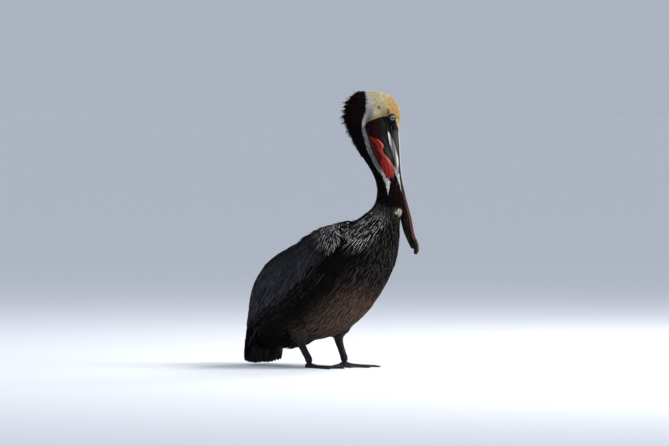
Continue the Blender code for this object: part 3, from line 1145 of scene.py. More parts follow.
class Coat:
    """A piece of plumage, gathered from tracts of feathers and built as one mesh."""

    patch = 0.003  # how wide a feather's place is on the unwrap
    floor = 0.0006  # no feather is lower

    def __init__(self, name: str, places: tuple[float, float], angles: tuple[float, float]) -> None:
        """Starts an empty coat.

        Args:
            name: Its name.
            places: The ends of its unwrap along the line.
            angles: Its ends round the line.
        """
        self.name, self.places, self.angles = name, places, angles
        self.points, self.loops, self.totals, self.vanes, self.spots = [], [], [], [], []
        self.grounds, self.streaks = [], []
        self.count = 0

    def add(self, vane: Vane, laid: Laid, ground: Numbers, streak: Numbers) -> None:
        """Copies a vane along every laid feather.

        Args:
            vane: The feather to copy.
            laid: Where the copies lie.
            ground: Each feather's colour.
            streak: The colour of its streak, with its strength.
        """
        weights = shaft_weights(vane.points[:, 1])
        shaft = np.einsum("vk,nkc->nvc", weights, laid.shaft)
        ahead = unit(np.einsum("vk,nkc->nvc", weights, np.gradient(laid.shaft, axis=1)))
        upward = unit(np.einsum("vk,nkc->nvc", weights, laid.normal))
        across = np.cross(ahead, upward)
        cos, sin = np.cos(laid.roll)[:, None, None], np.sin(laid.roll)[:, None, None]
        across, upward = across * cos + upward * sin, upward * cos - across * sin
        half = laid.half[:, None, None]
        points = shaft + across * half * vane.points[:, 0, None] + upward * half * vane.points[:, 2, None]
        lowest = self.floor + 0.25 * np.abs(vane.points[:, 2] * half[..., 0])
        points[..., 2] = np.maximum(points[..., 2], lowest)
        number, size = points.shape[:2]
        self.points.append(points.reshape(-1, 3))
        starts = self.count + np.arange(number)[:, None] * size
        self.loops.append((starts + vane.loops).ravel())
        self.totals.append(np.tile(vane.totals, number))
        self.count += number * size
        self.vanes.append(np.tile(vane.vane[vane.loops], (number, 1)))
        self.spots.append(np.repeat(self.spot(laid), len(vane.loops), axis=0))
        self.grounds.append(np.repeat(ground, size, axis=0))
        self.streaks.append(np.repeat(streak, size, axis=0))

    def spot(self, laid: Laid) -> Numbers:
        """The root's place on the unwrap: round the line, and along it.

        Args:
            laid: The feathers.

        Returns:
            A row for each feather.
        """
        low, high = self.angles
        u = ((laid.angle - low) % 360) / (high - low)
        v = (laid.s - self.places[0]) / (self.places[1] - self.places[0])
        return np.clip(np.column_stack([u, v]), 0, 1) * 0.96 + 0.02

    def build(self, finish: bpy.types.Material, slot: str) -> None:
        """Makes the mesh, with its two maps and its colours.

        Args:
            finish: The material.
            slot: Not used.
        """
        mesh = bpy.data.meshes.new(self.name)
        points, loops = np.concatenate(self.points), np.concatenate(self.loops)
        totals = np.concatenate(self.totals)
        mesh.vertices.add(len(points))
        mesh.vertices.foreach_set("co", points.astype(np.float32).ravel())
        mesh.loops.add(len(loops))
        mesh.loops.foreach_set("vertex_index", loops.astype(np.int32))
        mesh.polygons.add(len(totals))
        mesh.polygons.foreach_set("loop_start", (np.cumsum(totals) - totals).astype(np.int32))
        mesh.update(calc_edges=True)
        vanes, spots = np.concatenate(self.vanes), np.concatenate(self.spots)
        patches = spots + self.patch * np.column_stack([vanes[:, 0] / 2, vanes[:, 1] - 0.5])
        own = np.column_stack([(vanes[:, 0] + 1) / 2, vanes[:, 1]])
        for name, rows in (("OFBake", patches), ("Vane", own)):
            mesh.uv_layers.new(name=name).data.foreach_set("uv", rows.astype(np.float32).ravel())
        mesh.shade_smooth()
        piece = linked(self.name, mesh)
        give_colour(piece, "ground", np.concatenate(self.grounds))
        give_colour(piece, "streak", np.concatenate(self.streaks))
        mesh.materials.append(finish)
        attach(piece, ROOT)
        log.info("%s: %d triangles", self.name, int(np.sum(totals - 2)))


# ---- Markings --------------------------------
@dataclass(frozen=True)
class Markings:
    """The bird's colours, which its skin and its plumage share."""

    white: Colour = (0.80, 0.78, 0.76)
    # Painted shade on the white below the ear.
    grey: Colour = (0.34, 0.36, 0.38)
    cream: Colour = (0.90, 0.73, 0.44)
    tan: Colour = (0.76, 0.49, 0.20)
    olive: Colour = (0.33, 0.27, 0.09)
    crest: Colour = (0.0150, 0.0066, 0.0056)
    hindneck: Colour = (0.0056, 0.0054, 0.0060)
    chestnut: Colour = (0.0125, 0.0046, 0.0034)
    straw: Colour = (0.75, 0.65, 0.48)
    breast: Colour = (0.0050, 0.0036, 0.0034)
    belly: Colour = (0.0056, 0.0036, 0.0032)
    # Painted warm light, brightening the lower front of the belly.
    painted_warm_light: Colour = (0.085, 0.045, 0.030)
    silver: Colour = (0.88, 0.83, 0.75)
    slate: Colour = (0.0180, 0.0180, 0.0220)
    slate_edge: Colour = (0.140, 0.138, 0.150)
    quill: Colour = (0.0038, 0.0034, 0.0034)
    face: Colour = (0.0050, 0.0056, 0.0050)
    green: Colour = (0.012, 0.030, 0.025)
    red: Colour = (0.195, 0.0125, 0.009)
    maroon: Colour = (0.020, 0.0022, 0.0030)
    # Painted shade: the grey of the white stripes where the upper neck turns from the light.
    painted_stripe_shade: Colour = (0.22, 0.22, 0.23)
    leg: Colour = (0.011, 0.011, 0.012)

    # Where the dark nape begins, by height; and the height where the bare face ends, by reach.
    nape_edge: tuple = ((0.640, 0.661, 0.678, 0.690, 0.715, 0.735, 0.744, 0.752),
                        (0.0104, 0.0119, 0.0155, 0.0209, 0.0226, 0.0190, 0.0130, 0.0040))
    face_edge: tuple = ((0.018, 0.026, 0.040, 0.061, 0.080, 0.087, 0.095, 0.102, 0.106, 0.109, 0.112),
                        (0.650, 0.663, 0.668, 0.676, 0.678, 0.683, 0.6855, 0.683, 0.672, 0.655, 0.640))
    # Where the red of the pouch gives way to dark skin: heights, and how far the red reaches.
    red_edge: tuple = ((0.532, 0.548, 0.562, 0.572, 0.581, 0.589, 0.595, 0.605, 0.616, 0.621, 0.628),
                       (0.109, 0.1025, 0.0945, 0.0845, 0.0752, 0.0726, 0.0772, 0.0728, 0.0617, 0.0474, 0.035))
    # How wide the red is at these heights, before painted shade darkens it towards the neck.
    red_width: tuple = ((0.505, 0.534, 0.555, 0.568, 0.580, 0.590, 0.600, 0.614, 0.628),
                        (0.029, 0.028, 0.024, 0.013, 0.006, 0.013, 0.019, 0.021, 0.013))
    # The pale rail that crosses from the lower bill to the upper: heights, its middle and half its width.
    rail: tuple = (
        (0.490, 0.500, 0.508, 0.518, 0.530, 0.5535, 0.570, 0.583, 0.599, 0.613, 0.629, 0.638),
        (0.1090, 0.1068, 0.1040, 0.1010, 0.1005, 0.1010, 0.0972, 0.0942, 0.0899, 0.0848, 0.0793, 0.076),
        (0.0, 0.0035, 0.0040, 0.0078, 0.0036, 0.0046, 0.0064, 0.0058, 0.0065, 0.0069, 0.0041, 0.0),
    )

    def bare(self, points: Numbers) -> Numbers:
        """Where the skin is bare: the face below the yellow, and the throat between the white stripes.

        Args:
            points: The points.

        Returns:
            The mask.
        """
        reach, _, up = HEAD.measure(points)
        # The face's lower end is higher behind, where the white stripe passes under it.
        lowest = np.where(reach > 0.030, 0.632, 0.645)
        face = (up > lowest) & (up < np.interp(reach, *self.face_edge)) & (reach > 0.0185)
        s, angle = BODY.measure(points)
        away, inner, _ = self.stripe(s, angle)
        return face | ((up <= 0.650) & (s > 0.671) & (s < 0.990) & (away < inner))

    def stripe(self, s: Numbers, angle: Numbers) -> tuple[Numbers, Numbers, Numbers]:
        """How far round from the middle of the throat, and where the white stripes begin and end.

        Args:
            s: Places along the line.
            angle: Angles round it.

        Returns:
            Three angles for each point.
        """
        b = BODY.between
        places = (
            b("neck_foot", "neck_bend", 0.15), b("neck_foot", "neck_bend", 0.65),
            b("neck_bend", "neck_middle", 0.10), b("neck_bend", "neck_middle", 0.55),
            b("neck_middle", "neck_high", 0.10), b("neck_middle", "neck_high", 0.80),
            b("neck_high", "neck_top", 0.60), b("nape", "crest", 0.0),
        )
        middle = np.interp(s, places, (-168, -163, -158, -157, -157, -160, -168, -172))
        inner = np.interp(s, places, (44, 25, 28, 40, 43, 34, 27, 27))
        outer = np.interp(s, places, (46, 53, 52, 60, 64, 55, 48, 47))
        return np.abs(wrapped(angle - middle)), inner, outer

    def head(self, points: Numbers) -> Numbers:
        """The feathered head: dark crest, white behind, painted shade below the ear, cream and tan to the
        bill.

        Args:
            points: The points.

        Returns:
            The colours.
        """
        reach, _, up = HEAD.measure(points)
        x = points[:, 0]
        ear = rise(0.712, 0.685, up) * rise(0.012, 0.028, reach) * rise(0.050, 0.034, reach)
        edge = up - np.interp(reach, *self.face_edge)
        mark = np.hypot(reach - 0.056, 0.7 * (up - 0.702))
        brow = np.hypot(reach - 0.082, 0.35 * (up - 0.690))
        ragged = 0.0013 * np.sin(up * 940 + x * 310) + 0.0009 * np.sin(up * 2100 - x * 800)
        return layered(
            tiled(self.white, len(points)),
            # Painted shade: grey over the white below the ear.
            (0.75 * ear, self.grey),
            (rise(0.022, 0.048, reach - 0.25 * (0.72 - up)), self.cream),
            (rise(0.055, 0.096, reach), self.tan),
            (0.75 * rise(0.019, 0.002, edge) * rise(0.088, 0.075, reach), self.olive),
            (0.85 * rise(0.0045, 0.0015, mark), (0.05, 0.045, 0.02)),
            (0.8 * rise(0.0050, 0.0015, brow), (0.07, 0.06, 0.02)),
            (rise(0.0010, -0.0010, reach + ragged - np.interp(up, *self.nape_edge)), self.crest),
        )

    def neck(self, s: Numbers, angle: Numbers) -> Numbers:
        """The neck: black-brown behind, a white stripe each side with painted shade above, chestnut and straw
        in front.

        Args:
            s: Places along the line.
            angle: Angles round it.

        Returns:
            The colours.
        """
        front = np.abs(wrapped(angle - 175))
        away, inner, outer = self.stripe(s, angle)
        stripe = rise(-2, 2, away - inner) * rise(2, -2, away - outer) * (s > BODY.at["neck_foot"])
        return layered(
            tiled(self.hindneck, len(s)),
            (rise(0.585, 0.620, s) * rise(0.700, 0.665, s) * rise(58, 25, front), self.chestnut),
            (stripe, self.white),
            # Painted shade over the white stripes high on the neck.
            (stripe * rise(0.674, 0.690, s) * rise(0.840, 0.815, s), self.painted_stripe_shade),
        )

    def trunk(self, s: Numbers, angle: Numbers) -> tuple[Numbers, Numbers]:
        """The trunk's colour, and the silver streaks with their strength.

        Args:
            s: Places along the line.
            angle: Angles round it.

        Returns:
            The colours and the strengths.
        """
        behind = np.abs(angle)
        colour = layered(
            tiled(self.breast, len(s)),
            (rise(0.47, 0.36, s) * rise(70, 120, behind), self.belly),
            # Painted warm light on the lower front of the belly.
            (0.9 * rise(0.13, 0.24, s) * rise(0.44, 0.34, s) * rise(118, 165, behind), self.painted_warm_light),
        )
        start = 0.450 + 0.10 * rise(110, 160, behind)
        strength = rise(0.0, 0.045, s - start) * rise(0.598, 0.580, s) * rise(64, 84, behind)
        strength = strength * (1 - 0.5 * rise(118, 152, behind)) * (1 - 0.8 * rise(0.552, 0.580, s))
        weak = 0.10 * rise(0.10, 0.20, s) * rise(112, 142, behind) + 0.08 * rise(60, 20, behind)
        return colour, np.maximum(strength, weak * rise(0.600, 0.575, s))

    def body(self, points: Numbers, s: Numbers, angle: Numbers) -> tuple[Numbers, Numbers]:
        """Ground colour and streak of trunk, neck and head.

        Args:
            points: The places.
            s: Where they are along the middle line.
            angle: Their angles round it.

        Returns:
            The ground colours, and the streaks' colours with their strengths.
        """
        trunk, strength = self.trunk(s, angle)
        front = np.abs(wrapped(angle - 172)) + 6 * np.sin(s * 1900)
        straw = rise(0.579, 0.585, s - 0.0002 * front) * rise(0.598, 0.592, s + 0.0002 * front)
        colour = layered(
            trunk,
            (rise(0.588, 0.602, s), self.neck(s, angle)),
            (0.85 * straw * rise(42, 20, front), self.straw),
            (rise(0.832, 0.848, s), self.head(points)),
        )
        pale = np.clip(colour * 1.15 + 0.0012, 0, 0.86)
        streak = over(pale, rise(0.600, 0.580, s), self.silver)
        return colour, np.column_stack([streak, np.where(s > 0.59, 0.5, strength)])

    def wing(self, s: Numbers, angle: Numbers) -> tuple[Numbers, Numbers]:
        """Ground colour and streak of the folded wing: slate, silvery at the wrist.

        Args:
            s: Places along the line.
            angle: Angles round it.

        Returns:
            The colours, and the streaks' colours with their strengths.
        """
        side = np.abs(angle)
        wrist = rise(0.420, 0.462, s) * rise(44, 56, side)
        dark = np.maximum(0.7 * rise(0.385, 0.440, s), rise(0.34, 0.40, s) * rise(78, 90, side))
        above = rise(35, 22, side) * 0.5
        colour = layered(tiled(self.slate, len(s)), (dark, self.breast), (above, self.hindneck))
        streak = over(tiled(self.slate_edge, len(s)), wrist, self.silver)
        strength = (0.55 + 0.30 * wrist) * (1 - 0.7 * dark * (1 - wrist))
        return colour, np.column_stack([streak, strength])

    def pouch(self, points: Numbers) -> Numbers:
        """The pouch: red behind with painted shade and highlights, dark skin beside the bill, maroon above.

        Args:
            points: The points.

        Returns:
            The colours.
        """
        reach, _, up = HEAD.measure(points)
        edge = np.interp(up, *self.red_edge)
        red = rise(0.0022, -0.0010, reach - edge) * rise(0.630, 0.614, up)
        wide = np.interp(up, *self.red_width)
        # Painted shade: the red darkens to maroon towards the neck, away from the lit folds.
        depth = rise(wide, wide + 0.006, edge - reach + 0.001 * np.sin(up * 900))
        # Painted shade in the creases along the lobes.
        crease_shade = 0.5 + 0.5 * np.sin((edge - reach) * 1300 + 150 * up + 2.5 * np.sin(up * 330))
        # The two lobes, which get the painted highlight.
        lit_lobes = hump(up, 0.604, 0.010) + hump(up, 0.560, 0.014)
        rosy = layered(
            tiled(self.red, len(points)),
            (depth, self.maroon),
            (0.45 * crease_shade * rise(0.001, 0.007, edge - reach), (0.040, 0.004, 0.004)),
            # Painted highlight along the lobes' front edges.
            (0.55 * hump(edge - reach, 0.0042, 0.0024) * np.clip(lit_lobes, 0, 1), (0.50, 0.17, 0.13)),
        )
        return over(self.dark_skin(reach), red, rosy)

    def dark_skin(self, reach: Numbers) -> Numbers:
        """Black skin ahead, maroon behind the gape."""
        return over(tiled(self.face, len(reach)), rise(0.080, 0.045, reach), self.maroon)

    def bill_rail(self, points: Numbers) -> tuple[Numbers, Numbers]:
        """How much of the bill's pale rail there is at each point, and of the painted shade ahead of it.

        Args:
            points: The points.

        Returns:
            Both masks.
        """
        reach, aside, up = HEAD.measure(points)
        heights, middle, half = self.rail
        half = np.interp(up, heights, half)
        off = reach - 0.214 * np.abs(aside) - np.interp(up, heights, middle)
        # Painted shade in the groove just ahead of the rail.
        line = hump(off - half, 0.0016, 0.0012) * rise(0.48, 0.50, up)
        return rise(half + 0.0008, half - 0.0008, np.abs(off)) * rise(0.0, 0.001, half), line

    def bare_face(self, points: Numbers) -> Numbers:
        """The bare face: black, with a greenish sheen ahead of the gape and maroon behind it.

        Args:
            points: The points.

        Returns:
            The colours.
        """
        reach, _, up = HEAD.measure(points)
        patch = np.hypot(reach - 0.074, up - 0.655)
        return over(self.dark_skin(reach), 0.7 * rise(0.011, 0.002, patch), self.green)


MARKINGS = Markings()


# ---- Skin ------------------------------------
class Hull:
    """A surface made of several of the frame's solids, which tells the nearest solid to a point."""

    deepest = 0.012  # no point is further inside

    def __init__(self, nodes: tuple[str, ...]) -> None:
        """Gathers the solids' triangles.

        Args:
            nodes: The frame's solids.
        """
        corners, faces, self.owner = [], [], []
        for number, node in enumerate(nodes):
            piece = copy_of(node)
            points = places_of(piece)
            piece.data.calc_loop_triangles()
            start = len(corners)
            corners += points.tolist()
            faces += [[start + v for v in t.vertices] for t in piece.data.loop_triangles]
            self.owner += [number] * (len(faces) - len(self.owner))
            bpy.data.objects.remove(piece)
        self.tree = BVHTree.FromPolygons(corners, faces, all_triangles=True)

    def nearest(self, points: Numbers) -> Numbers:
        """The number of the solid nearest to each point."""
        find = self.tree.find_nearest
        return np.array([self.owner[find(p)[2]] for p in points.tolist()])

    def near(self, points: Numbers, gap: float) -> Numbers:
        """Which points are inside the surface, or no further outside than the gap.

        Args:
            points: The points.
            gap: How far outside a point may be.

        Returns:
            The mask.
        """
        found = []
        for point in points.tolist():
            place, normal, _, distance = self.tree.find_nearest(point)
            found.append(distance < self.deepest and (Vector(point) - place).dot(normal) < gap)
        return np.array(found)


@dataclass
class Skin:
    """One skin over the whole bird, under the feathers and bare on face, pouch and legs."""

    voxel: float = 0.0024
    closing: float = 0.0018
    foot_voxel: float = 0.0012
    kept: float = 0.15  # the share of the faces that is left under the feathers
    tail_root: float = 0.075  # the height where the tail begins
    tail_half: float = 0.079  # half its width
    coat: dict[str, float] = field(
        default_factory=lambda: {
            "trunk": 0.0048, "neck_lower": 0.0036, "neck_middle": 0.0028, "neck_upper": 0.0026,
            "head": 0.0016, "pouch": 0.0, "wing_right": 0.0038, "wing_left": 0.0038, "tail": 0.0034,
            "thigh_right": 0.0030, "thigh_left": 0.0030,
        }
    )

    def build(self) -> None:
        """Makes the skin and hides the solids that it stands for."""
        piece = joined([self.upper(), self.legs(), *Lids().build()], "skin")
        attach(piece, ROOT)
        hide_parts(*FLESH, *THIGHS, *LEGS)
        log.info("skin: %d faces", len(piece.data.polygons))

    def upper(self) -> bpy.types.Object:
        """The skin of everything but shanks and feet.

        Returns:
            The piece.
        """
        nodes = (*FLESH, *THIGHS)
        piece = merged_flesh(nodes, "skin", self.voxel, self.closing)
        hull = Hull(nodes)
        owner = hull.nearest(places_of(piece))
        head, pouch = nodes.index("head"), nodes.index("pouch")
        self.thin(piece, (owner != head) & (owner != pouch) & (places_of(piece)[:, 2] < 0.50))
        self.refine(piece)
        points, normals = places_of(piece), normals_of(piece)
        owner = hull.nearest(points)
        up = points[:, 2]
        bare = MARKINGS.bare(points) | ((owner == pouch) & (up < 0.645))
        coat = np.array([self.coat[node] for node in nodes])[owner]
        coat[bare] = 0.0
        coat = self.spread(piece, coat, 3)
        shape = self.spread(piece, self.folds(points) * bare, 1)
        bed = plumped(*BODY.measure(points))
        sunk = 0.0010 * self.spread(piece, bare * rise(0.640, 0.658, up), 2)
        # The tail's end is drawn up and rounded, so that the quills stand out past it.
        tail = (owner == nodes.index("tail")) & (up < self.tail_root)
        low = 0.014 + 0.024 * (np.abs(points[:, 0]) / self.tail_half) ** 2
        points[:, 2] = np.where(tail, np.maximum(up, np.minimum(low, self.tail_root)), up)
        move_to(piece, points + normals * (shape + bed - coat - sunk)[:, None] + set_back(points))
        self.paint(piece, points, owner, nodes, bare)
        return piece

    def thin(self, piece: bpy.types.Object, mask: Numbers) -> None:
        """Removes most faces where the mask says so.

        Args:
            piece: The mesh.
            mask: Which vertices.
        """
        group = piece.vertex_groups.new(name="thin")
        group.add(np.nonzero(mask)[0].tolist(), 1.0, "REPLACE")
        apply_modifier(piece, "DECIMATE", ratio=self.kept, vertex_group="thin")

    def refine(self, piece: bpy.types.Object) -> None:
        """Halves the faces of head and pouch.

        Args:
            piece: The mesh.
        """
        points = places_of(piece)
        reach, aside, up = HEAD.measure(points)
        near = (up > 0.50) & (reach > 0.012) & (np.abs(aside) < 0.05)
        form = bmesh.new()
        form.from_mesh(piece.data)
        chosen = set(np.nonzero(near)[0].tolist())
        edges = [e for e in form.edges if e.verts[0].index in chosen and e.verts[1].index in chosen]
        bmesh.ops.subdivide_edges(form, edges=edges, cuts=1, use_grid_fill=True)
        form.to_mesh(piece.data)
        form.free()
        piece.data.shade_smooth()
        apply_modifier(piece, "SMOOTH", factor=0.5, iterations=2)

    def spread(self, piece: bpy.types.Object, values: Numbers, rounds: int) -> Numbers:
        """Values evened out between neighbouring vertices.

        Args:
            piece: The mesh.
            values: A value for every vertex.
            rounds: How many times.

        Returns:
            The evened values.
        """
        ends = np.empty(len(piece.data.edges) * 2, np.int32)
        piece.data.edges.foreach_get("vertices", ends)
        first, second = ends.reshape(-1, 2).T
        values = values.astype(float)
        for _ in range(rounds):
            total, count = values.copy(), np.ones(len(values))
            np.add.at(total, first, values[second])
            np.add.at(total, second, values[first])
            np.add.at(count, first, 1)
            np.add.at(count, second, 1)
            values = total / count
        return values

    def folds(self, points: Numbers) -> Numbers:
        """The pouch's shape: two plump lobes with a crease between, and folds along their length.

        Args:
            points: The points.

        Returns:
            The distances outwards.
        """
        reach, aside, up = HEAD.measure(points)
        edge = np.interp(up, *MARKINGS.red_edge)
        inside = rise(0.002, -0.006, reach - edge)
        plump = 0.0026 * inside * rise(0.632, 0.612, up)
        crease = -0.0030 * hump(reach, edge, 0.0024)
        across = edge - reach + 0.10 * np.abs(aside)
        folds = 0.0013 * np.sin(across * 2 * math.pi / 0.0082 + 70 * up) * rise(0.001, 0.010, across)
        fine = 0.0004 * np.sin(across * 2 * math.pi / 0.0031 + 160 * up + 2 * np.sin(up * 400))
        return plump + crease + (folds + fine) * rise(0.66, 0.62, up)

    def paint(
        self, piece: bpy.types.Object, points: Numbers, owner: Numbers, nodes: tuple[str, ...], bare: Numbers
    ) -> None:
        """Gives the skin its colours and its two finishes.

        Args:
            piece: The skin.
            points: Its vertices before they were moved inwards.
            owner: The number of the solid nearest to each.
            nodes: The solids.
            bare: Where the skin is bare.
        """
        s, angle = BODY.measure(points)
        # Under the feathers, the plumage's colours darkened: painted shade in the depths of the plumage.
        colour = MARKINGS.body(points, s, angle)[0] * 0.55
        for name in ("wing_right", "wing_left", "tail"):
            colour = np.where((owner == nodes.index(name))[:, None], MARKINGS.quill, colour)
        face = np.where((points[:, 2] > 0.650)[:, None], MARKINGS.bare_face(points), MARKINGS.pouch(points))
        fold = self.folds(points)
        # Painted shade in the folds' hollows and painted light on their crests.
        face = face * (1 - 0.65 * rise(0.0012, -0.0014, fold) + 0.45 * rise(0.0020, 0.0042, fold))[:, None]
        colour = np.where(bare[:, None], face, colour)
        give_colour(piece, "ground", colour)
        piece.data.materials.append(Hide("skin_under_down", 0.85, 420.0, 0.0006).material())
        piece.data.materials.append(Hide("bare_skin", 0.46, 700.0, 0.0006, mottle=0.7, gloss=0.07).material())
        corner = np.array([f.vertices[0] for f in piece.data.polygons])
        piece.data.polygons.foreach_set("material_index", bare[corner].astype(np.int32))

    def legs(self) -> bpy.types.Object:
        """Shanks and webbed feet, with scales.

        Returns:
            The piece.
        """
        piece = joined([copy_of(node) for node in LEGS], "legs")
        apply_modifier(piece, "REMESH", mode="VOXEL", voxel_size=self.foot_voxel)
        apply_modifier(piece, "SMOOTH", factor=0.5, iterations=3)
        piece.data.shade_smooth()
        points = places_of(piece)
        up = points[:, 2]
        thick = 0.0044 * rise(0.010, 0.022, up) + 0.0014 * rise(0.048, 0.066, up)
        move_to(piece, points + normals_of(piece) * (thick * rise(0.10, 0.09, up))[:, None])
        low = rise(0.012, 0.003, up)
        mottle = 0.5 + 0.5 * np.sin(points[:, 0] * 700) * np.sin(points[:, 1] * 640)
        colour = tiled(MARKINGS.leg, len(points)) * (0.85 + 0.35 * mottle + 0.3 * low)[:, None]
        give_colour(piece, "ground", colour)
        piece.data.materials.append(Hide("scaly_leg", 0.50, 500.0, 0.0006, scales=330.0).material())
        return piece


@dataclass
class Lids:
    """The skin that holds the eye, and the two lids' margins round it."""

    opening: float = 40.0  # how far from the gaze the opening reaches, as an angle
    shell: float = 0.0107  # the skin's radius round the eyeball's middle
    margin: float = 0.0011
    thick: float = 0.0006

    def build(self) -> list[bpy.types.Object]:
        """Makes the lids of both eyes.

        Returns:
            The four pieces.
        """
        finish = Hide("lid_skin", 0.32, 900.0, 0.0004, mottle=0.4).material()
        pieces = []
        for side in SIDES.values():
            pieces += [self.hood(side, finish), self.rim(side, finish)]
        return pieces

    def hood(self, side: int, finish: bpy.types.Material) -> bpy.types.Object:
        """The skin over the eyeball, open in front of the pupil.

        Args:
            side: 1 for the left and -1 for the right.
            finish: The material.

        Returns:
            The piece.
        """
        place, gaze, turn = Eyes.place(side)
        piece = globe(self.shell, 48, 32, place, turn)
        bpy.ops.object.mode_set(mode="EDIT")
        bpy.ops.mesh.select_all(action="SELECT")
        cut = place + gaze * (self.shell * math.cos(math.radians(self.opening)))
        bpy.ops.mesh.bisect(plane_co=cut, plane_no=gaze, use_fill=False, clear_outer=True)
        bpy.ops.object.mode_set(mode="OBJECT")
        apply_modifier(piece, "SOLIDIFY", thickness=self.thick, offset=-1.0)
        piece.data.shade_smooth()
        give_colour(piece, "ground", tiled(MARKINGS.face, len(piece.data.vertices)))
        piece.data.materials.append(finish)
        return piece

    def rim(self, side: int, finish: bpy.types.Material) -> bpy.types.Object:
        """The lids' thick margin: a ring, pinched at the corners of the eye.

        Args:
            side: 1 for the left and -1 for the right.
            finish: The material.

        Returns:
            The piece.
        """
        object_mode()
        place, gaze, turn = Eyes.place(side)
        wide = self.shell * math.sin(math.radians(self.opening))
        far = self.shell * math.cos(math.radians(self.opening))
        bpy.ops.mesh.primitive_torus_add(
            major_segments=48, minor_segments=12, major_radius=wide, minor_radius=self.margin,
            location=place + gaze * far, rotation=turn,
        )
        piece = bpy.context.object
        settle(piece)
        piece.data.shade_smooth()
        points = places_of(piece)
        upper = rise(-0.002, 0.005, points[:, 2] - place.z)
        colour = over(tiled((0.030, 0.008, 0.010), len(points)), 0.8 * upper, (0.22, 0.08, 0.085))
        give_colour(piece, "ground", colour)
        piece.data.materials.append(finish)
        return piece


# ---- Eyes ------------------------------------
@dataclass
class Eyes:
    """The two eyeballs."""

    radius: float = 0.0100
    cornea: float = 0.0006  # how far the cornea stands out

    set_back = 0.0036  # how far the eyes lie behind the frame's

    @staticmethod
    def place(side: int) -> tuple[Vector, Vector, Euler]:
        """The middle of one eyeball, the way that it looks, and the turn from up to there.

        Args:
            side: 1 for the left and -1 for the right.

        Returns:
            The middle, the way and the turn.
        """
        low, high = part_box("eye_left" if side > 0 else "eye_right")
        centre = (Vector(low) + Vector(high)) / 2 - Eyes.set_back * HEAD.direction(1.0, 0.0, 0.0)
        gaze = HEAD.direction(0.34, 0.94 * side, -0.02)
        return centre, gaze, gaze.to_track_quat("Z", "Y").to_euler()

    def build(self) -> None:
        """Makes both eyes."""
        finish = EyeGlass("eye_glass").material()
        for name, side in SIDES.items():
            piece = self.ball(name, side)
            piece.data.materials.append(finish)
            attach(piece, ROOT)
            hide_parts(f"eye_{name}")
            log.info("%s", piece.name)

    def ball(self, name: str, side: int) -> bpy.types.Object:
        """One eyeball with its cornea, and how far each place is from its gaze.

        Args:
            name: The side's name.
            side: 1 for the left and -1 for the right.

        Returns:
            The eyeball.
        """
        place, gaze, turn = self.place(side)
        piece = globe(self.radius, 56, 40, place, turn)
        piece.name = piece.data.name = f"eyeball_{name}"
        points = places_of(piece)
        out = unit(points - np.array(place))
        away = np.degrees(np.arccos(np.clip(out @ np.array(gaze), -1, 1)))
        move_to(piece, points + out * (self.cornea * rise(44, 20, away))[:, None])
        piece.data.shade_smooth()
        give_number(piece, "gaze", away / 90)
        return piece


# ---- Bill and claws --------------------------
class Sections:
    """A long piece's sections, read from its own mesh in slices of height."""

    def __init__(self, points: Numbers, slices: int) -> None:
        """Measures the slices.

        Args:
            points: The points.
            slices: How many slices there are.
        """
        reach, aside, up = HEAD.measure(points)
        self.top, self.bottom = up.max(), up.min()
        bins = np.clip(((up - self.bottom) / (self.top - self.bottom) * slices).astype(int), 0, slices - 1)
        rows = []
        for i in range(slices):
            here = bins == i
            if here.sum() > 6:
                ends = reach[here].min(), reach[here].max()
                rows.append((up[here].mean(), *ends, np.abs(aside[here]).max()))
        self.up, low, high, self.width = np.array(rows).T
        self.middle, self.half = (low + high) / 2, (high - low) / 2

    def read(self, points: Numbers) -> tuple[Numbers, Numbers, Numbers]:
        """Share of the way down, place across (-1 to 1), and place from back (-1) to front (1).

        Args:
            points: The points.

        Returns:
            The three places.
        """
        reach, aside, up = HEAD.measure(points)
        down = (self.top - up) / (self.top - self.bottom)
        across = aside / np.interp(up, self.up, self.width)
        ahead = (reach - np.interp(up, self.up, self.middle)) / np.interp(up, self.up, self.half)
        return down, across, ahead


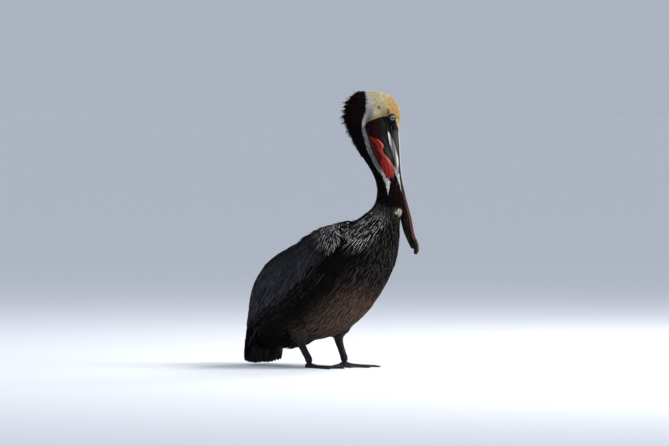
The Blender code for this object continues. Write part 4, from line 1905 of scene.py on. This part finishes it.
@dataclass
class Bill:
    """Upper and lower bill, with ridge, grooves, cutting edges and the hooked nail."""

    voxel: float = 0.0010
    groove_at: float = 0.56
    groove: float = 0.0011
    ridge: float = 0.0004
    set_back: float = 0.0060  # how far its upper part lies back from the solids

    def keel(self, up: Numbers, ahead: Numbers) -> Numbers:
        """How far the lower bill moves forward: its hind edge goes back with the pouch's dark margin.

        Args:
            up: Heights.
            ahead: Places from back (-1) to front (1).

        Returns:
            The distances forward.
        """
        heights = (0.300, 0.3135, 0.352, 0.370, 0.397, 0.442, 0.487, 0.520)
        back = np.interp(up, heights, (0.0, 0.001, 0.0075, 0.0110, 0.0125, 0.0100, 0.004, 0.0))
        return 0.0055 * rise(0.36, 0.325, up) * rise(-1.2, 0.2, ahead) - back * rise(0.3, -0.9, ahead)

    def build(self) -> None:
        """Makes the two halves."""
        finish = Horn("bill_horn_finish").material()
        self.half(("bill_upper", "bill_nail"), "upper_bill", self.shape_upper, self.paint_upper, finish)
        self.half(("bill_lower",), "lower_bill", self.shape_lower, self.paint_lower, finish)

    def half(
        self,
        nodes: tuple[str, ...],
        name: str,
        shape: Callable[[Numbers, Numbers, Numbers], Numbers],
        paint: Callable[[Numbers, Numbers, Numbers], Numbers],
        finish: bpy.types.Material,
    ) -> None:
        """Makes one half of the bill.

        Args:
            nodes: The solids that it stands for.
            name: Its name.
            shape: How far the surface moves outwards, by place on the bill.
            paint: Its colours, by place on the bill.
            finish: The horn.
        """
        piece = merged_flesh(nodes, name, self.voxel, 0.0008 if len(nodes) > 1 else 0.0)
        points, normals = places_of(piece), normals_of(piece)
        down, across, ahead = Sections(points, 60).read(points)
        moved = -self.set_back * rise(0.395, 0.475, points[:, 2])
        if name == "lower_bill":
            moved = moved + self.keel(points[:, 2], ahead)
        points = points + np.array(HEAD.direction(1.0, 0.0, 0.0)) * moved[:, None]
        move_to(piece, points + normals * shape(down, across, ahead)[:, None])
        rail, line = MARKINGS.bill_rail(points)
        # Painted shade in the groove ahead of the rail, in the face's black.
        colour = over(paint(down, across, ahead), 0.75 * line, MARKINGS.face)
        give_colour(piece, "ground", over(colour, rail, (0.72, 0.70, 0.65)))
        piece.data.materials.append(finish)
        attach(piece, ROOT)
        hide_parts(*nodes)
        log.info("%s: %d faces", name, len(piece.data.polygons))

    def shape_upper(self, down: Numbers, across: Numbers, ahead: Numbers) -> Numbers:
        """A long groove each side of the ridge, a step at the nail, and a fine cutting edge.

        Args:
            down: Shares of the way down.
            across: Places across (-1 to 1).
            ahead: Places from back (-1) to front (1).

        Returns:
            The distances outwards.
        """
        out = np.abs(across)
        front = rise(-0.1, 0.3, ahead)
        groove = -self.groove * hump(out, self.groove_at, 0.10) * front
        groove = groove * rise(0.005, 0.06, down) * rise(0.93, 0.87, down)
        ridge = self.ridge * rise(0.30, 0.05, out) * front
        nail = 0.0006 * rise(0.874, 0.884, down)
        edge = 0.0004 * rise(0.86, 0.98, out) * rise(0.5, 0.1, np.abs(ahead))
        return groove + ridge + nail + edge

    def paint_upper(self, down: Numbers, across: Numbers, ahead: Numbers) -> Numbers:
        """Grey at the root, dark along the middle, red-brown towards the dark nail.

        Args:
            down: Shares of the way down.
            across: Places across (-1 to 1).
            ahead: Places from back (-1) to front (1).

        Returns:
            The colours.
        """
        out = np.abs(across)
        # Painted highlight: a pale line along the ridge of the bill.
        ridge = rise(0.42, 0.18, out) * rise(0.0, 0.5, ahead) * rise(0.56, 0.40, down)
        groove = hump(out, self.groove_at, 0.09) * rise(-0.1, 0.3, ahead) * rise(0.92, 0.86, down)
        nail = rise(0.872, 0.886, down)
        return layered(
            tiled((0.060, 0.054, 0.050), len(down)),
            (rise(0.12, 0.30, down), (0.026, 0.022, 0.020)),
            (rise(0.34, 0.48, down), (0.0085, 0.0065, 0.0058)),
            (0.85 * rise(0.46, 0.70, down) * rise(-0.1, 0.5, ahead), (0.105, 0.030, 0.018)),
            # Painted highlight along the ridge.
            (0.8 * ridge, (0.55, 0.52, 0.48)),
            # Painted shade in the grooves.
            (0.7 * groove, (0.020, 0.017, 0.015)),
            (rise(0.070, 0.040, down), MARKINGS.face),
            (rise(0.062, 0.040, down + 0.07 * out) * rise(0.0, 0.4, ahead), (0.46, 0.29, 0.11)),
            (nail, (0.0085, 0.0065, 0.0045)),
            (0.8 * nail * rise(0.60, 0.95, np.abs(ahead)), (0.17, 0.125, 0.040)),
        )

    def shape_lower(self, down: Numbers, across: Numbers, ahead: Numbers) -> Numbers:
        """A rounded rail along each side, and a shallow hollow between them in front.

        Args:
            down: Shares of the way down.
            across: Places across (-1 to 1).
            ahead: Places from back (-1) to front (1).

        Returns:
            The distances outwards.
        """
        out = np.abs(across)
        rail = 0.0005 * hump(out, 0.86, 0.10)
        hollow = -0.0009 * rise(0.70, 0.30, out) * rise(-0.2, 0.4, -ahead)
        return (rail + hollow) * rise(0.005, 0.05, down)

    def paint_lower(self, down: Numbers, across: Numbers, ahead: Numbers) -> Numbers:
        """Black, a little paler along each side at the root, and brown beside the upper bill's tip.

        Args:
            down: Shares of the way down.
            across: Places across (-1 to 1).
            ahead: Places from back (-1) to front (1).

        Returns:
            The colours.
        """
        out = np.abs(across)
        return layered(
            tiled((0.0045, 0.0040, 0.0035), len(down)),
            (rise(0.45, 0.30, down) * rise(0.5, 0.8, out), (0.030, 0.028, 0.026)),
            (0.6 * rise(0.55, 0.80, down) * rise(0.3, 0.8, ahead), (0.10, 0.035, 0.022)),
        )


@dataclass
class Claws:
    """The curved claws at the toes' tips, modelled once and copied."""

    length: float = 0.0085
    thick: float = 0.0023
    bedded: float = 0.0035  # how far the root is inside the toe
    height: float = 0.0030  # the root's height
    floor: float = 0.0002  # nothing is lower
    toes: dict[str, tuple[float, float]] = field(
        default_factory=lambda: {
            "outer": (-17, 0.108), "middle": (9, 0.112), "inner": (35, 0.090), "hind": (88, 0.048)
        }
    )

    def build(self) -> None:
        """Makes the eight claws as one piece."""
        model = self.model()
        points = places_of(model)
        up = np.array((0.0, 0.0, 1.0))
        claws = []
        for side, forward, turn in ((-1, -0.012, 2.0), (1, 0.012, -4.0)):
            for name, (angle, length) in self.toes.items():
                way = math.radians(side * (turn - angle))
                reach = length - self.bedded
                tip = forward + reach * math.cos(way), ASTRIDE * side + reach * math.sin(way)
                onward = world(np.cos(way), np.sin(way), 0.0) - world(0.0, 0.0, 0.0)
                across = np.cross(onward, up)
                base = world(*tip, self.height)
                piece = linked(f"claw_{name}", model.data.copy())
                placed = base + points[:, :1] * across + points[:, 1:2] * onward
                placed = placed + points[:, 2:] * up
                placed[:, 2] = np.maximum(placed[:, 2], self.floor)
                move_to(piece, placed)
                claws.append(piece)
        bpy.data.objects.remove(model)
        piece = joined(claws, "claws")
        give_colour(piece, "ground", tiled((0.022, 0.020, 0.019), len(piece.data.vertices)))
        piece.data.materials.append(Horn("claw_horn", 0.35).material())
        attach(piece, ROOT)
        log.info("claws: %d", len(claws))

    def model(self) -> bpy.types.Object:
        """One claw at the origin, pointing along Y and bending down to the floor.

        Returns:
            The claw.
        """
        steps, fall, thinned = 6, 0.00035, 0.92
        rings = []
        for i in range(steps + 1):
            width = self.thick * (1 - thinned * i / steps)
            rings.append((self.length * i / steps, -fall * i * (i - 1) / 2, width))
        piece = drawn_out(12, rings)
        piece.data.shade_smooth()
        return piece


# ---- Plumage, region by region ---------------
ALL_ROUND = (-180.0, 180.0)
RING = ((0.0, *ALL_ROUND), (1.0, *ALL_ROUND))  # the edges of a tract that goes all round
STRAIGHTEST = 0.80  # feathers less straight than this are left out


def varied(colours: Numbers, chance: np.random.Generator, amount: float) -> Numbers:
    """Colours a little lighter or darker from feather to feather."""
    return np.clip(colours * np.clip(1 + chance.normal(0, amount, (len(colours), 1)), 0.4, 1.7), 0, 0.9)


def body_painter(points: Numbers, _s: Numbers, _angle: Numbers) -> tuple[Numbers, Numbers]:
    """The body's colours, read where the feathers' ends show."""
    return MARKINGS.body(points, *BODY.measure(points))


def wing_painter(_points: Numbers, s: Numbers, angle: Numbers) -> tuple[Numbers, Numbers]:
    """The folded wing's colours, read at the feathers' roots."""
    return MARKINGS.wing(s, angle)


def quill_painter(_points: Numbers, s: Numbers, _angle: Numbers) -> tuple[Numbers, Numbers]:
    """Black-brown quills with a faint paler shaft."""
    return tiled(MARKINGS.quill, len(s)), tiled((0.070, 0.066, 0.066, 0.4), len(s))


def thigh_painter(points: Numbers, _s: Numbers, _angle: Numbers) -> tuple[Numbers, Numbers]:
    """Dark brown, as the belly behind the thigh.

    Args:
        points: The points.
        _s: Not read.
        _angle: Not read.

    Returns:
        The colours, and the streaks' colours with their strengths.
    """
    here, around = BODY.measure(points)
    ground, _ = MARKINGS.trunk(np.clip(here, 0.05, 0.3), around)
    return ground * 0.8, tiled((*MARKINGS.silver, 0.12), len(points))


@dataclass
class Plumes:
    """What every region of plumage uses: the surface it lies on, its vanes and its two finishes."""

    outside: Outside
    vanes: dict[Cut, Vane]
    finish: bpy.types.Material
    fine: bpy.types.Material


@dataclass
class Region:
    """One piece of plumage, dressed with tracts of feathers."""

    name: str
    slot: str
    places: tuple[float, float]  # the ends of its unwrap along the line
    tracts: list[Tract]
    seed: int  # the seed of the feathers' small differences
    painter: Painter = body_painter
    angles: tuple[float, float] = ALL_ROUND  # the ends of its unwrap round the line
    keep: Keep | None = None  # says which feathers stay
    spread: float = 0.14  # how much the feathers differ in lightness
    faint: float = 0.0  # the share of the feathers whose streak is faint
    short: bool = False  # whether they have the short feathers' finish

    def build(self, plumes: Plumes) -> None:
        """Lays the tracts and makes the piece.

        Args:
            plumes: What it is made with.
        """
        coat = Coat(self.name, self.places, self.angles)
        chance = np.random.default_rng(self.seed)
        for tract in self.tracts:
            laid = tract.lay(plumes.outside, chance)
            laid = laid.kept(laid.straight() > STRAIGHTEST)
            if self.keep:
                laid = laid.kept(self.keep(laid))
            ground, streak = self.painter(laid.seen(), laid.s, laid.angle)
            streak[:, :3] = varied(streak[:, :3], chance, 0.16)
            streak[:, 3] *= np.where(chance.random(len(streak)) < self.faint, 0.14, 1.0)
            coat.add(plumes.vanes[tract.cut], laid, varied(ground, chance, self.spread), streak)
        coat.build(plumes.fine if self.short else plumes.finish, self.slot)


@dataclass
class HeadPlumage:
    """Tufts over crown, cheeks and nape, the crest's spikes, and the neck's short feathers."""

    clear: Keep  # says which feathers are off the bare skin
    rows: float = 0.0026
    apart: float = 0.0019
    length: float = 0.0085
    width: float = 0.0021

    def regions(self) -> list[Region]:
        """The head, the crest and the neck.

        Returns:
            The three regions.
        """
        tufts = Tract(
            0.800, 1.010, RING, self.rows, self.apart, self.length, self.width,
            sink=0.0022, lift=0.0011, bend=30.0, ruffle=9.0, cut=Cut.TUFT,
        )
        spikes = []
        for start, end, wide, length, stand in (
            (0.768, 0.800, 60, 0.0090, 20.0),
            (0.798, 0.826, 60, 0.0135, 44.0),
            (0.824, 0.858, 56, 0.0160, 58.0),
            (0.856, 0.884, 54, 0.0185, 56.0),
            (0.882, 0.899, 46, 0.0125, 38.0),
        ):
            edges = ((start, -wide, wide), (end, -wide, wide))
            for rows, apart, more, width in ((0.0066, 0.0060, 1.22, 0.0042), (0.0024, 0.0021, 0.66, 0.0030)):
                spikes.append(Tract(
                    start, end, edges, rows, apart, length * more, width,
                    sink=0.001, lift=0.0, stand=stand, bend=4.0, cut=Cut.HAIR,
                ))
        for low, high in ((-84, -50), (50, 84)):
            edges = ((0.806, low, high), (0.878, low, high))
            spikes.append(Tract(
                0.806, 0.878, edges, 0.0044, 0.0032, 0.0120, 0.0034,
                sink=0.001, stand=32.0, ruffle=9.0, cut=Cut.HAIR,
            ))
        neck = [
            Tract(0.578, 0.640, RING, 0.0050, 0.0034, 0.0165, 0.0034, sink=0.003, lift=0.0012, bend=22.0),
            Tract(0.636, 0.806, RING, 0.0044, 0.0029, 0.0120, 0.0029, sink=0.003, lift=0.0009, bend=22.0,
                  cut=Cut.TUFT),
        ]
        shared = {"keep": self.clear, "short": True}
        return [
            Region("head_plumage", "crown_feather", (0.79, 1.02), [tufts], 11, spread=0.12, **shared),
            Region("crest", "neck_feather", (0.77, 0.92), spikes, 12, spread=0.25, **shared),
            Region("neck_plumage", "neck_feather", (0.56, 0.82), neck, 21, spread=0.12, **shared),
        ]


def off_wings(laid: Laid) -> Numbers:
    """Feathers whose ends don't reach the folded wings.

    Args:
        laid: The feathers.

    Returns:
        The mask.
    """
    end, _ = BODY.measure(laid.shaft[:, -1])
    side = np.abs(laid.angle)
    return (side < 14) | (side > 94) | (end > 0.4915)


def off_shoulders(laid: Laid) -> Numbers:
    """Feathers whose roots are behind the shoulders."""
    return laid.s < 0.476


@dataclass
class TrunkPlumage:
    """Breast, belly and back."""

    slot: str = "body_feather"

    def regions(self) -> list[Region]:
        """The three pieces of the trunk.

        Returns:
            The three regions.
        """
        front = ((0.34, 84, 276), (0.47, 84, 276), (0.495, 72, 288))
        under = ((0.03, 60, 300), (0.10, 78, 282), (0.36, 84, 276))
        vent = ((0.05, 118, 242), (0.20, 128, 232))
        above = ((0.02, -24, 24), (0.40, -34, 34), (0.47, -52, 52), (0.50, -70, 70))
        breast = [
            Tract(0.352, 0.490, front, 0.0088, 0.0052, 0.040, 0.0064, lift=0.0010, bend=10.0, inset=0.0015),
            Tract(0.486, 0.545, RING, 0.0080, 0.0052, 0.036, 0.0060, lift=0.0014, bend=12.0),
            Tract(0.493, 0.522, RING, 0.0052, 0.0048, 0.012, 0.0050, lift=0.0006, bend=24.0),
            Tract(0.542, 0.590, RING, 0.0062, 0.0042, 0.026, 0.0046, lift=0.0013, bend=16.0),
        ]
        belly = [
            Tract(0.040, 0.356, under, 0.0080, 0.0058, 0.036, 0.0072, lift=0.0014, bend=12.0),
            Tract(0.050, 0.170, vent, 0.0085, 0.0060, 0.052, 0.0092, lift=0.0040, bend=4.0, stand=3.0),
        ]
        back = [Tract(0.060, 0.492, above, 0.0100, 0.0075, 0.045, 0.0092, lift=0.0010, bend=16.0)]
        return [
            Region("breast_plumage", self.slot, (0.34, 0.60), breast, 31, keep=off_wings, faint=0.50),
            Region("belly_plumage", self.slot, (0.0, 0.37), belly, 32, angles=(60, 300)),
            Region("back_plumage", self.slot, (0.0, 0.52), back, 33, angles=(-60, 60), keep=off_shoulders),
        ]


@dataclass
class WingPlumage:
    """One folded wing: long flight feathers, and the coverts over them."""

    name: str
    side: int
    slot: str = "wing_feather"

    def span(self, *rows: tuple[float, float, float]) -> tuple[tuple[float, float, float], ...]:
        """The same spans of angle, on this side of the bird."""
        return rows if self.side > 0 else tuple((s, -high, -low) for s, low, high in rows)

    def regions(self) -> list[Region]:
        """The flight feathers and the coverts.

        Returns:
            The two regions.
        """
        low = self.span((0.05, 70, 98), (0.20, 84, 103), (0.42, 86, 102))
        ends = self.span((0.08, 20, 92), (0.20, 20, 96))
        flight = [
            Tract(0.10, 0.42, low, 0.0160, 0.0080, 0.094, 0.0130, lift=0.0008, sweep=4.0, bend=8.0,
                  ruffle=1.5, cut=Cut.BLADE),
            Tract(0.10, 0.20, ends, 0.0170, 0.0120, 0.094, 0.0150, lift=0.0004, bend=8.0, ruffle=1.2,
                  cut=Cut.BLADE),
        ]
        broad = self.span((0.05, 16, 62), (0.10, 17, 70), (0.20, 19, 76), (0.42, 26, 80))
        wrist = self.span((0.38, 26, 90), (0.44, 36, 90), (0.487, 48, 84))
        edge = self.span((0.48, 44, 96), (0.50, 46, 92))
        coverts = [
            Tract(start, end, edges, rows, apart, length, width, sink=sink, lift=lift, sweep=sweep, bend=bend,
                  ruffle=ruffle)
            for start, end, edges, rows, apart, length, width, sink, lift, sweep, bend, ruffle in (
                (0.085, 0.300, broad, 0.0150, 0.0064, 0.076, 0.0082, 0.004, 0.0022, 25.0, 11.0, 2.0),
                (0.290, 0.400, broad, 0.0120, 0.0060, 0.064, 0.0074, 0.004, 0.0022, 23.0, 10.0, 2.4),
                (0.392, 0.446, wrist, 0.0075, 0.0048, 0.030, 0.0056, 0.004, 0.0014, 14.0, 12.0, 4.0),
                (0.446, 0.470, wrist, 0.0060, 0.0046, 0.026, 0.0050, 0.004, 0.0013, 30.0, 16.0, 4.0),
                (0.468, 0.489, wrist, 0.0046, 0.0044, 0.021, 0.0044, 0.004, 0.0012, 48.0, 30.0, 4.0),
                (0.484, 0.500, edge, 0.0034, 0.0036, 0.016, 0.0038, 0.001, 0.0010, 66.0, 60.0, 3.0),
            )
        ]
        return [
            Region(f"flight_feathers_{self.name}", self.slot, (0.0, 0.40), flight, 41, quill_painter,
                   spread=0.18),
            Region(f"wing_coverts_{self.name}", self.slot, (0.0, 0.49), coverts, 42, wing_painter,
                   spread=0.20, faint=0.35),
        ]


@dataclass
class Fan:
    """A row of feathers spread like a fan on the back or the front of wing ends and tail."""

    count: int
    root: tuple[float, float]  # half the row's width at the roots, and their height
    tip: tuple[float, float]  # the same at the tips
    width: float
    behind: bool
    rounded: float  # how much higher the outer tips are
    lift: float
    cut: Cut

    blade = 0.2268  # how far behind the origin the tail's blade lies

    def lay(self, outside: Outside, chance: np.random.Generator) -> Laid:
        """Lays the row.

        Args:
            outside: The surface that it lies on.
            chance: The source of the feathers' small differences.

        Returns:
            The feathers.
        """
        place = np.linspace(-1, 1, self.count) + chance.normal(0, 0.18 / self.count, self.count)
        out = np.abs(place)
        share = np.linspace(0, 1, SHAFT_POINTS)
        x = place[:, None] * (self.root[0] + (self.tip[0] - self.root[0]) * share)
        tip = self.tip[1] + self.rounded * out**2.5 + np.abs(chance.normal(0, 0.0012, self.count))
        z = self.root[1] + (tip[:, None] - self.root[1]) * share
        way = 1.0 if self.behind else -1.0
        y = np.empty_like(x)
        for i in range(self.count):
            spots = zip(x[i].tolist(), z[i].tolist(), strict=True)
            found = [self.reached(outside, aside, up, way) for aside, up in spots]
            y[i] = np.polyval(np.polyfit(share, found, 2), share)
        flat = rise(0.036, 0.011, z)
        y = y * (1 - flat) + (self.blade + 0.0006 * way - 0.003 * out[:, None] ** 2) * flat
        y = y + way * (self.lift * (1.2 - out[:, None]) * (1 - flat) - 0.004 * (1 - share) ** 2)
        shaft = np.stack([x, y, z], axis=2)
        facing = np.stack([1.6 * x, np.full_like(x, way), np.full_like(x, 0.1)], axis=2)
        normal = square_to(facing, unit(np.gradient(shaft, axis=1)))
        half = 0.5 * self.width * np.clip(1 + chance.normal(0, 0.06, self.count), 0.8, 1.2)
        angle = place * 80 if self.behind else 180 - place * 80
        return Laid(np.full(self.count, self.root[1]), angle, shaft, normal, half, 0.10 * place * way)

    def reached(self, outside: Outside, aside: float, up: float, way: float) -> float:
        """Where a level ray from behind (way 1) or ahead (way -1) meets the bird near this place.

        Args:
            outside: The bird's surface.
            aside: How far it is to the left.
            up: How high it is.
            way: 1 or -1.

        Returns:
            How far back that is.
        """
        for share in (1.0, 0.85, 0.7, 0.55, 0.4):
            beside = math.copysign(max(abs(aside) * share, 0.013), aside)
            start = Vector((beside, 0.5 * way, max(up, 0.006)))
            hit = outside.tree.ray_cast(start, Vector((0.0, -way, 0.0)))[0]
            if hit is not None and hit.y > 0.12:
                return hit.y
        return self.blade


@dataclass
class TailPlumage:
    """The tail's quills, on both faces, and the coverts over their roots and between the wing ends."""

    ground: Colour = (0.0070, 0.0066, 0.0072)
    shaft: tuple[float, float, float, float] = (0.045, 0.043, 0.044, 0.45)

    def build(self, plumes: Plumes) -> None:
        """Makes the piece.

        Args:
            plumes: What it is made with.
        """
        coat = Coat("tail_feathers", (0.0, 0.24), ALL_ROUND)
        chance = np.random.default_rng(51)
        for fan in (
            Fan(15, (0.030, 0.105), (0.074, 0.003), 0.0190, True, 0.007, 0.0030, Cut.BLADE),
            Fan(15, (0.028, 0.095), (0.073, 0.003), 0.0180, False, 0.007, 0.0010, Cut.BLADE),
            Fan(15, (0.032, 0.100), (0.062, 0.034), 0.0150, False, 0.008, 0.0022, Cut.LANCE),
            Fan(11, (0.026, 0.125), (0.044, 0.066), 0.0150, False, 0.010, 0.0030, Cut.LANCE),
            Fan(15, (0.032, 0.120), (0.056, 0.050), 0.0150, True, 0.014, 0.0042, Cut.LANCE),
            Fan(13, (0.028, 0.150), (0.044, 0.078), 0.0140, True, 0.010, 0.0048, Cut.LANCE),
            Fan(9, (0.022, 0.185), (0.030, 0.110), 0.0130, True, 0.008, 0.0048, Cut.LANCE),
            Fan(8, (0.020, 0.225), (0.024, 0.150), 0.0130, True, 0.006, 0.0040, Cut.LANCE),
        ):
            laid = fan.lay(plumes.outside, chance)
            ground = varied(tiled(self.ground, fan.count), chance, 0.25)
            coat.add(plumes.vanes[fan.cut], laid, ground, tiled(self.shaft, fan.count))
        coat.build(plumes.finish, "wing_feather")


# Each thigh's lower end: how far forward of the ankles' mean place, and how high.
THIGH_ENDS = {"right": (-0.040, 0.072), "left": (-0.008, 0.078)}


@dataclass
class ThighPlumage:
    """The short dark feathers of one thigh."""

    name: str
    side: int
    forward: float  # where its lower end is, forward of the ankles' mean place
    up: float  # and how high

    def line(self) -> MiddleLine:
        """The thigh's middle, from its lower end to the hip.

        Returns:
            The line.
        """
        aside = ASTRIDE * self.side
        stations = {
            "end": (self.forward, aside, self.up, 0),
            "knee": (self.forward, aside, self.up + 0.010, 0),
            "thigh": (self.forward + 0.012, aside * 1.18, self.up + 0.056, 0),
            "hip": (self.forward + 0.026, aside * 1.22, self.up + 0.100, 0),
        }
        return MiddleLine(stations, 0.06, 0.06)

    def build(self, plumes: Plumes) -> None:
        """Makes the piece.

        Args:
            plumes: What it is made with.
        """
        piece = merged_flesh((f"thigh_{self.name}",), "thigh_form", 0.002, 0.0)
        line = self.line()
        outside = Outside(line, piece)
        bpy.data.objects.remove(piece)
        tracts = [
            Tract(0.010, 0.046, RING, 0.0050, 0.0040, 0.024, 0.0050, lift=0.0034, bend=6.0),
            Tract(0.003, 0.014, RING, 0.0036, 0.0030, 0.013, 0.0034, sink=0.001, lift=0.0016, bend=5.0,
                  cut=Cut.TUFT),
        ]
        name, places, seed = f"thigh_plumage_{self.name}", (0.0, line.length), 61 + self.side
        region = Region(name, "body_feather", places, tracts, seed, thigh_painter)
        region.build(replace(plumes, outside=outside))


# ---- Studio ----------------------------------
@dataclass
class Studio:
    """Floor, lights and camera."""

    azimuth: float = -50.0
    elevation: float = 1.5
    lens: float = 300.0
    distance: float = 15.05
    target: Point = (0.0148, -0.0176, 0.389)
    horizon: Colour = (0.41, 0.45, 0.53)
    zenith: Colour = (0.58, 0.625, 0.71)

    def build(self) -> None:
        """Makes the studio."""
        self.floor()
        self.sky()
        self.camera()
        self.lights()

    def aimed(
        self, name: str, data: bpy.types.ID, target: Point, angles: tuple[float, float], distance: float
    ) -> bpy.types.Object:
        """A lamp or camera that looks at a target.

        Args:
            name: Its name.
            data: Its settings.
            target: What it looks at.
            angles: Its azimuth and elevation as seen from there.
            distance: How far away it is.

        Returns:
            The object.
        """
        made = linked(name, data)
        a, e = (math.radians(angle) for angle in angles)
        away = Vector((math.sin(a) * math.cos(e), -math.cos(a) * math.cos(e), math.sin(e)))
        made.location = Vector(target) + away * distance
        made.rotation_euler = away.to_track_quat("Z", "Y").to_euler()
        return made

    def floor(self) -> None:
        """The pale floor."""
        object_mode()
        bpy.ops.mesh.primitive_grid_add(x_subdivisions=8, y_subdivisions=8, size=160.0)
        piece = bpy.context.object
        piece.name = piece.data.name = "floor"
        settle(piece)
        piece.data.materials.append(Ground("studio_floor", (0.79, 0.80, 0.82)).material())

    def sky(self) -> None:
        """Plain pale air all round."""
        world_made = bpy.data.worlds.new("studio_air")
        world_made.use_nodes = True
        tree = world_made.node_tree
        up = tree.nodes.new("ShaderNodeSeparateXYZ")
        tree.links.new(tree.nodes.new("ShaderNodeTexCoord").outputs["Generated"], up.inputs[0])
        mixed = tree.nodes.new("ShaderNodeMix")
        mixed.data_type = "RGBA"
        tree.links.new(up.outputs["Z"], mixed.inputs[0])
        mixed.inputs[6].default_value = (*self.horizon, 1.0)
        mixed.inputs[7].default_value = (*self.zenith, 1.0)
        tree.links.new(mixed.outputs[2], tree.nodes["Background"].inputs["Color"])
        bpy.context.scene.world = world_made
        bpy.context.scene.view_settings.view_transform = "Standard"

    def camera(self) -> None:
        """The camera."""
        data = bpy.data.cameras.new("camera")
        data.lens, data.sensor_width = self.lens, 36.0
        data.clip_end = 200.0
        made = self.aimed("camera", data, self.target, (self.azimuth, self.elevation), self.distance)
        bpy.context.scene.camera = made

    def lights(self) -> None:
        """A high key light at the camera's right, a rim light behind it, and two weak fills."""
        for name, azimuth, elevation, distance, size, power in (
            ("key", 22.0, 48.0, 3.2, 1.0, 88.0),
            ("rim", 82.0, 42.0, 3.2, 1.0, 46.0),
            ("fill", -100.0, 25.0, 3.6, 2.4, 4.0),
            ("back", 175.0, 45.0, 3.6, 2.2, 12.0),
        ):
            data = bpy.data.lights.new(name, "AREA")
            data.size, data.energy = size, power
            self.aimed(name, data, (0.0, 0.0, 0.35), (azimuth, elevation), distance)


# ---- The pelican -----------------------------
def main() -> None:
    """Builds the bird and its studio."""
    form = merged_flesh((*FLESH, *THIGHS), "form", 0.0024, 0.0018)
    outside = Outside(BODY, form)
    bpy.data.objects.remove(form)
    shapes = ((Cut.HAIR, 3, 0.6), (Cut.TUFT, 3, 0.3), (Cut.LANCE, 4, 0.2), (Cut.BLADE, 4, 0.1))
    vanes = {cut: Vane(cut, corners, ridge).model() for cut, corners, ridge in shapes}
    finish = Plumage("contour_feather", streak=0.36).material()
    fine = Plumage("short_feather", streak=0.5, streak_start=0.1, barbs=9.0, gloss=0.012).material()
    plumes = Plumes(outside, vanes, finish, fine)
    soft = Hull(("pouch",))
    horn = Hull(("bill_lower", "bill_upper"))

    def clear(laid: Laid) -> Numbers:
        """Feathers that are off the bare skin and outside pouch and bill, at three places of each.

        Args:
            laid: The feathers.

        Returns:
            The mask.
        """
        kept = np.ones(len(laid.s), bool)
        for mark in (1, 3, 5):
            points = laid.shaft[:, mark]
            low = points[:, 2] < 0.640
            reach, aside, up = HEAD.measure(points)
            cheek = (laid.s > 0.85) & (up < 0.656) & (reach > 0.028) & (np.abs(aside) > 0.009)
            kept &= ~MARKINGS.bare(points) & ~(soft.near(points, 0.0012) & low) & ~horn.near(points, 0.0006)
            kept &= ~cheek
        return kept

    Skin().build()
    Eyes().build()
    Bill().build()
    Claws().build()
    for region in (*HeadPlumage(clear).regions(), *TrunkPlumage().regions()):
        region.build(plumes)
    for name, side in SIDES.items():
        for region in WingPlumage(name, side).regions():
            region.build(plumes)
        ThighPlumage(name, side, *THIGH_ENDS[name]).build(plumes)
    TailPlumage().build(plumes)
    Studio().build()
    object_mode()


if __name__ == "__main__":
    main()
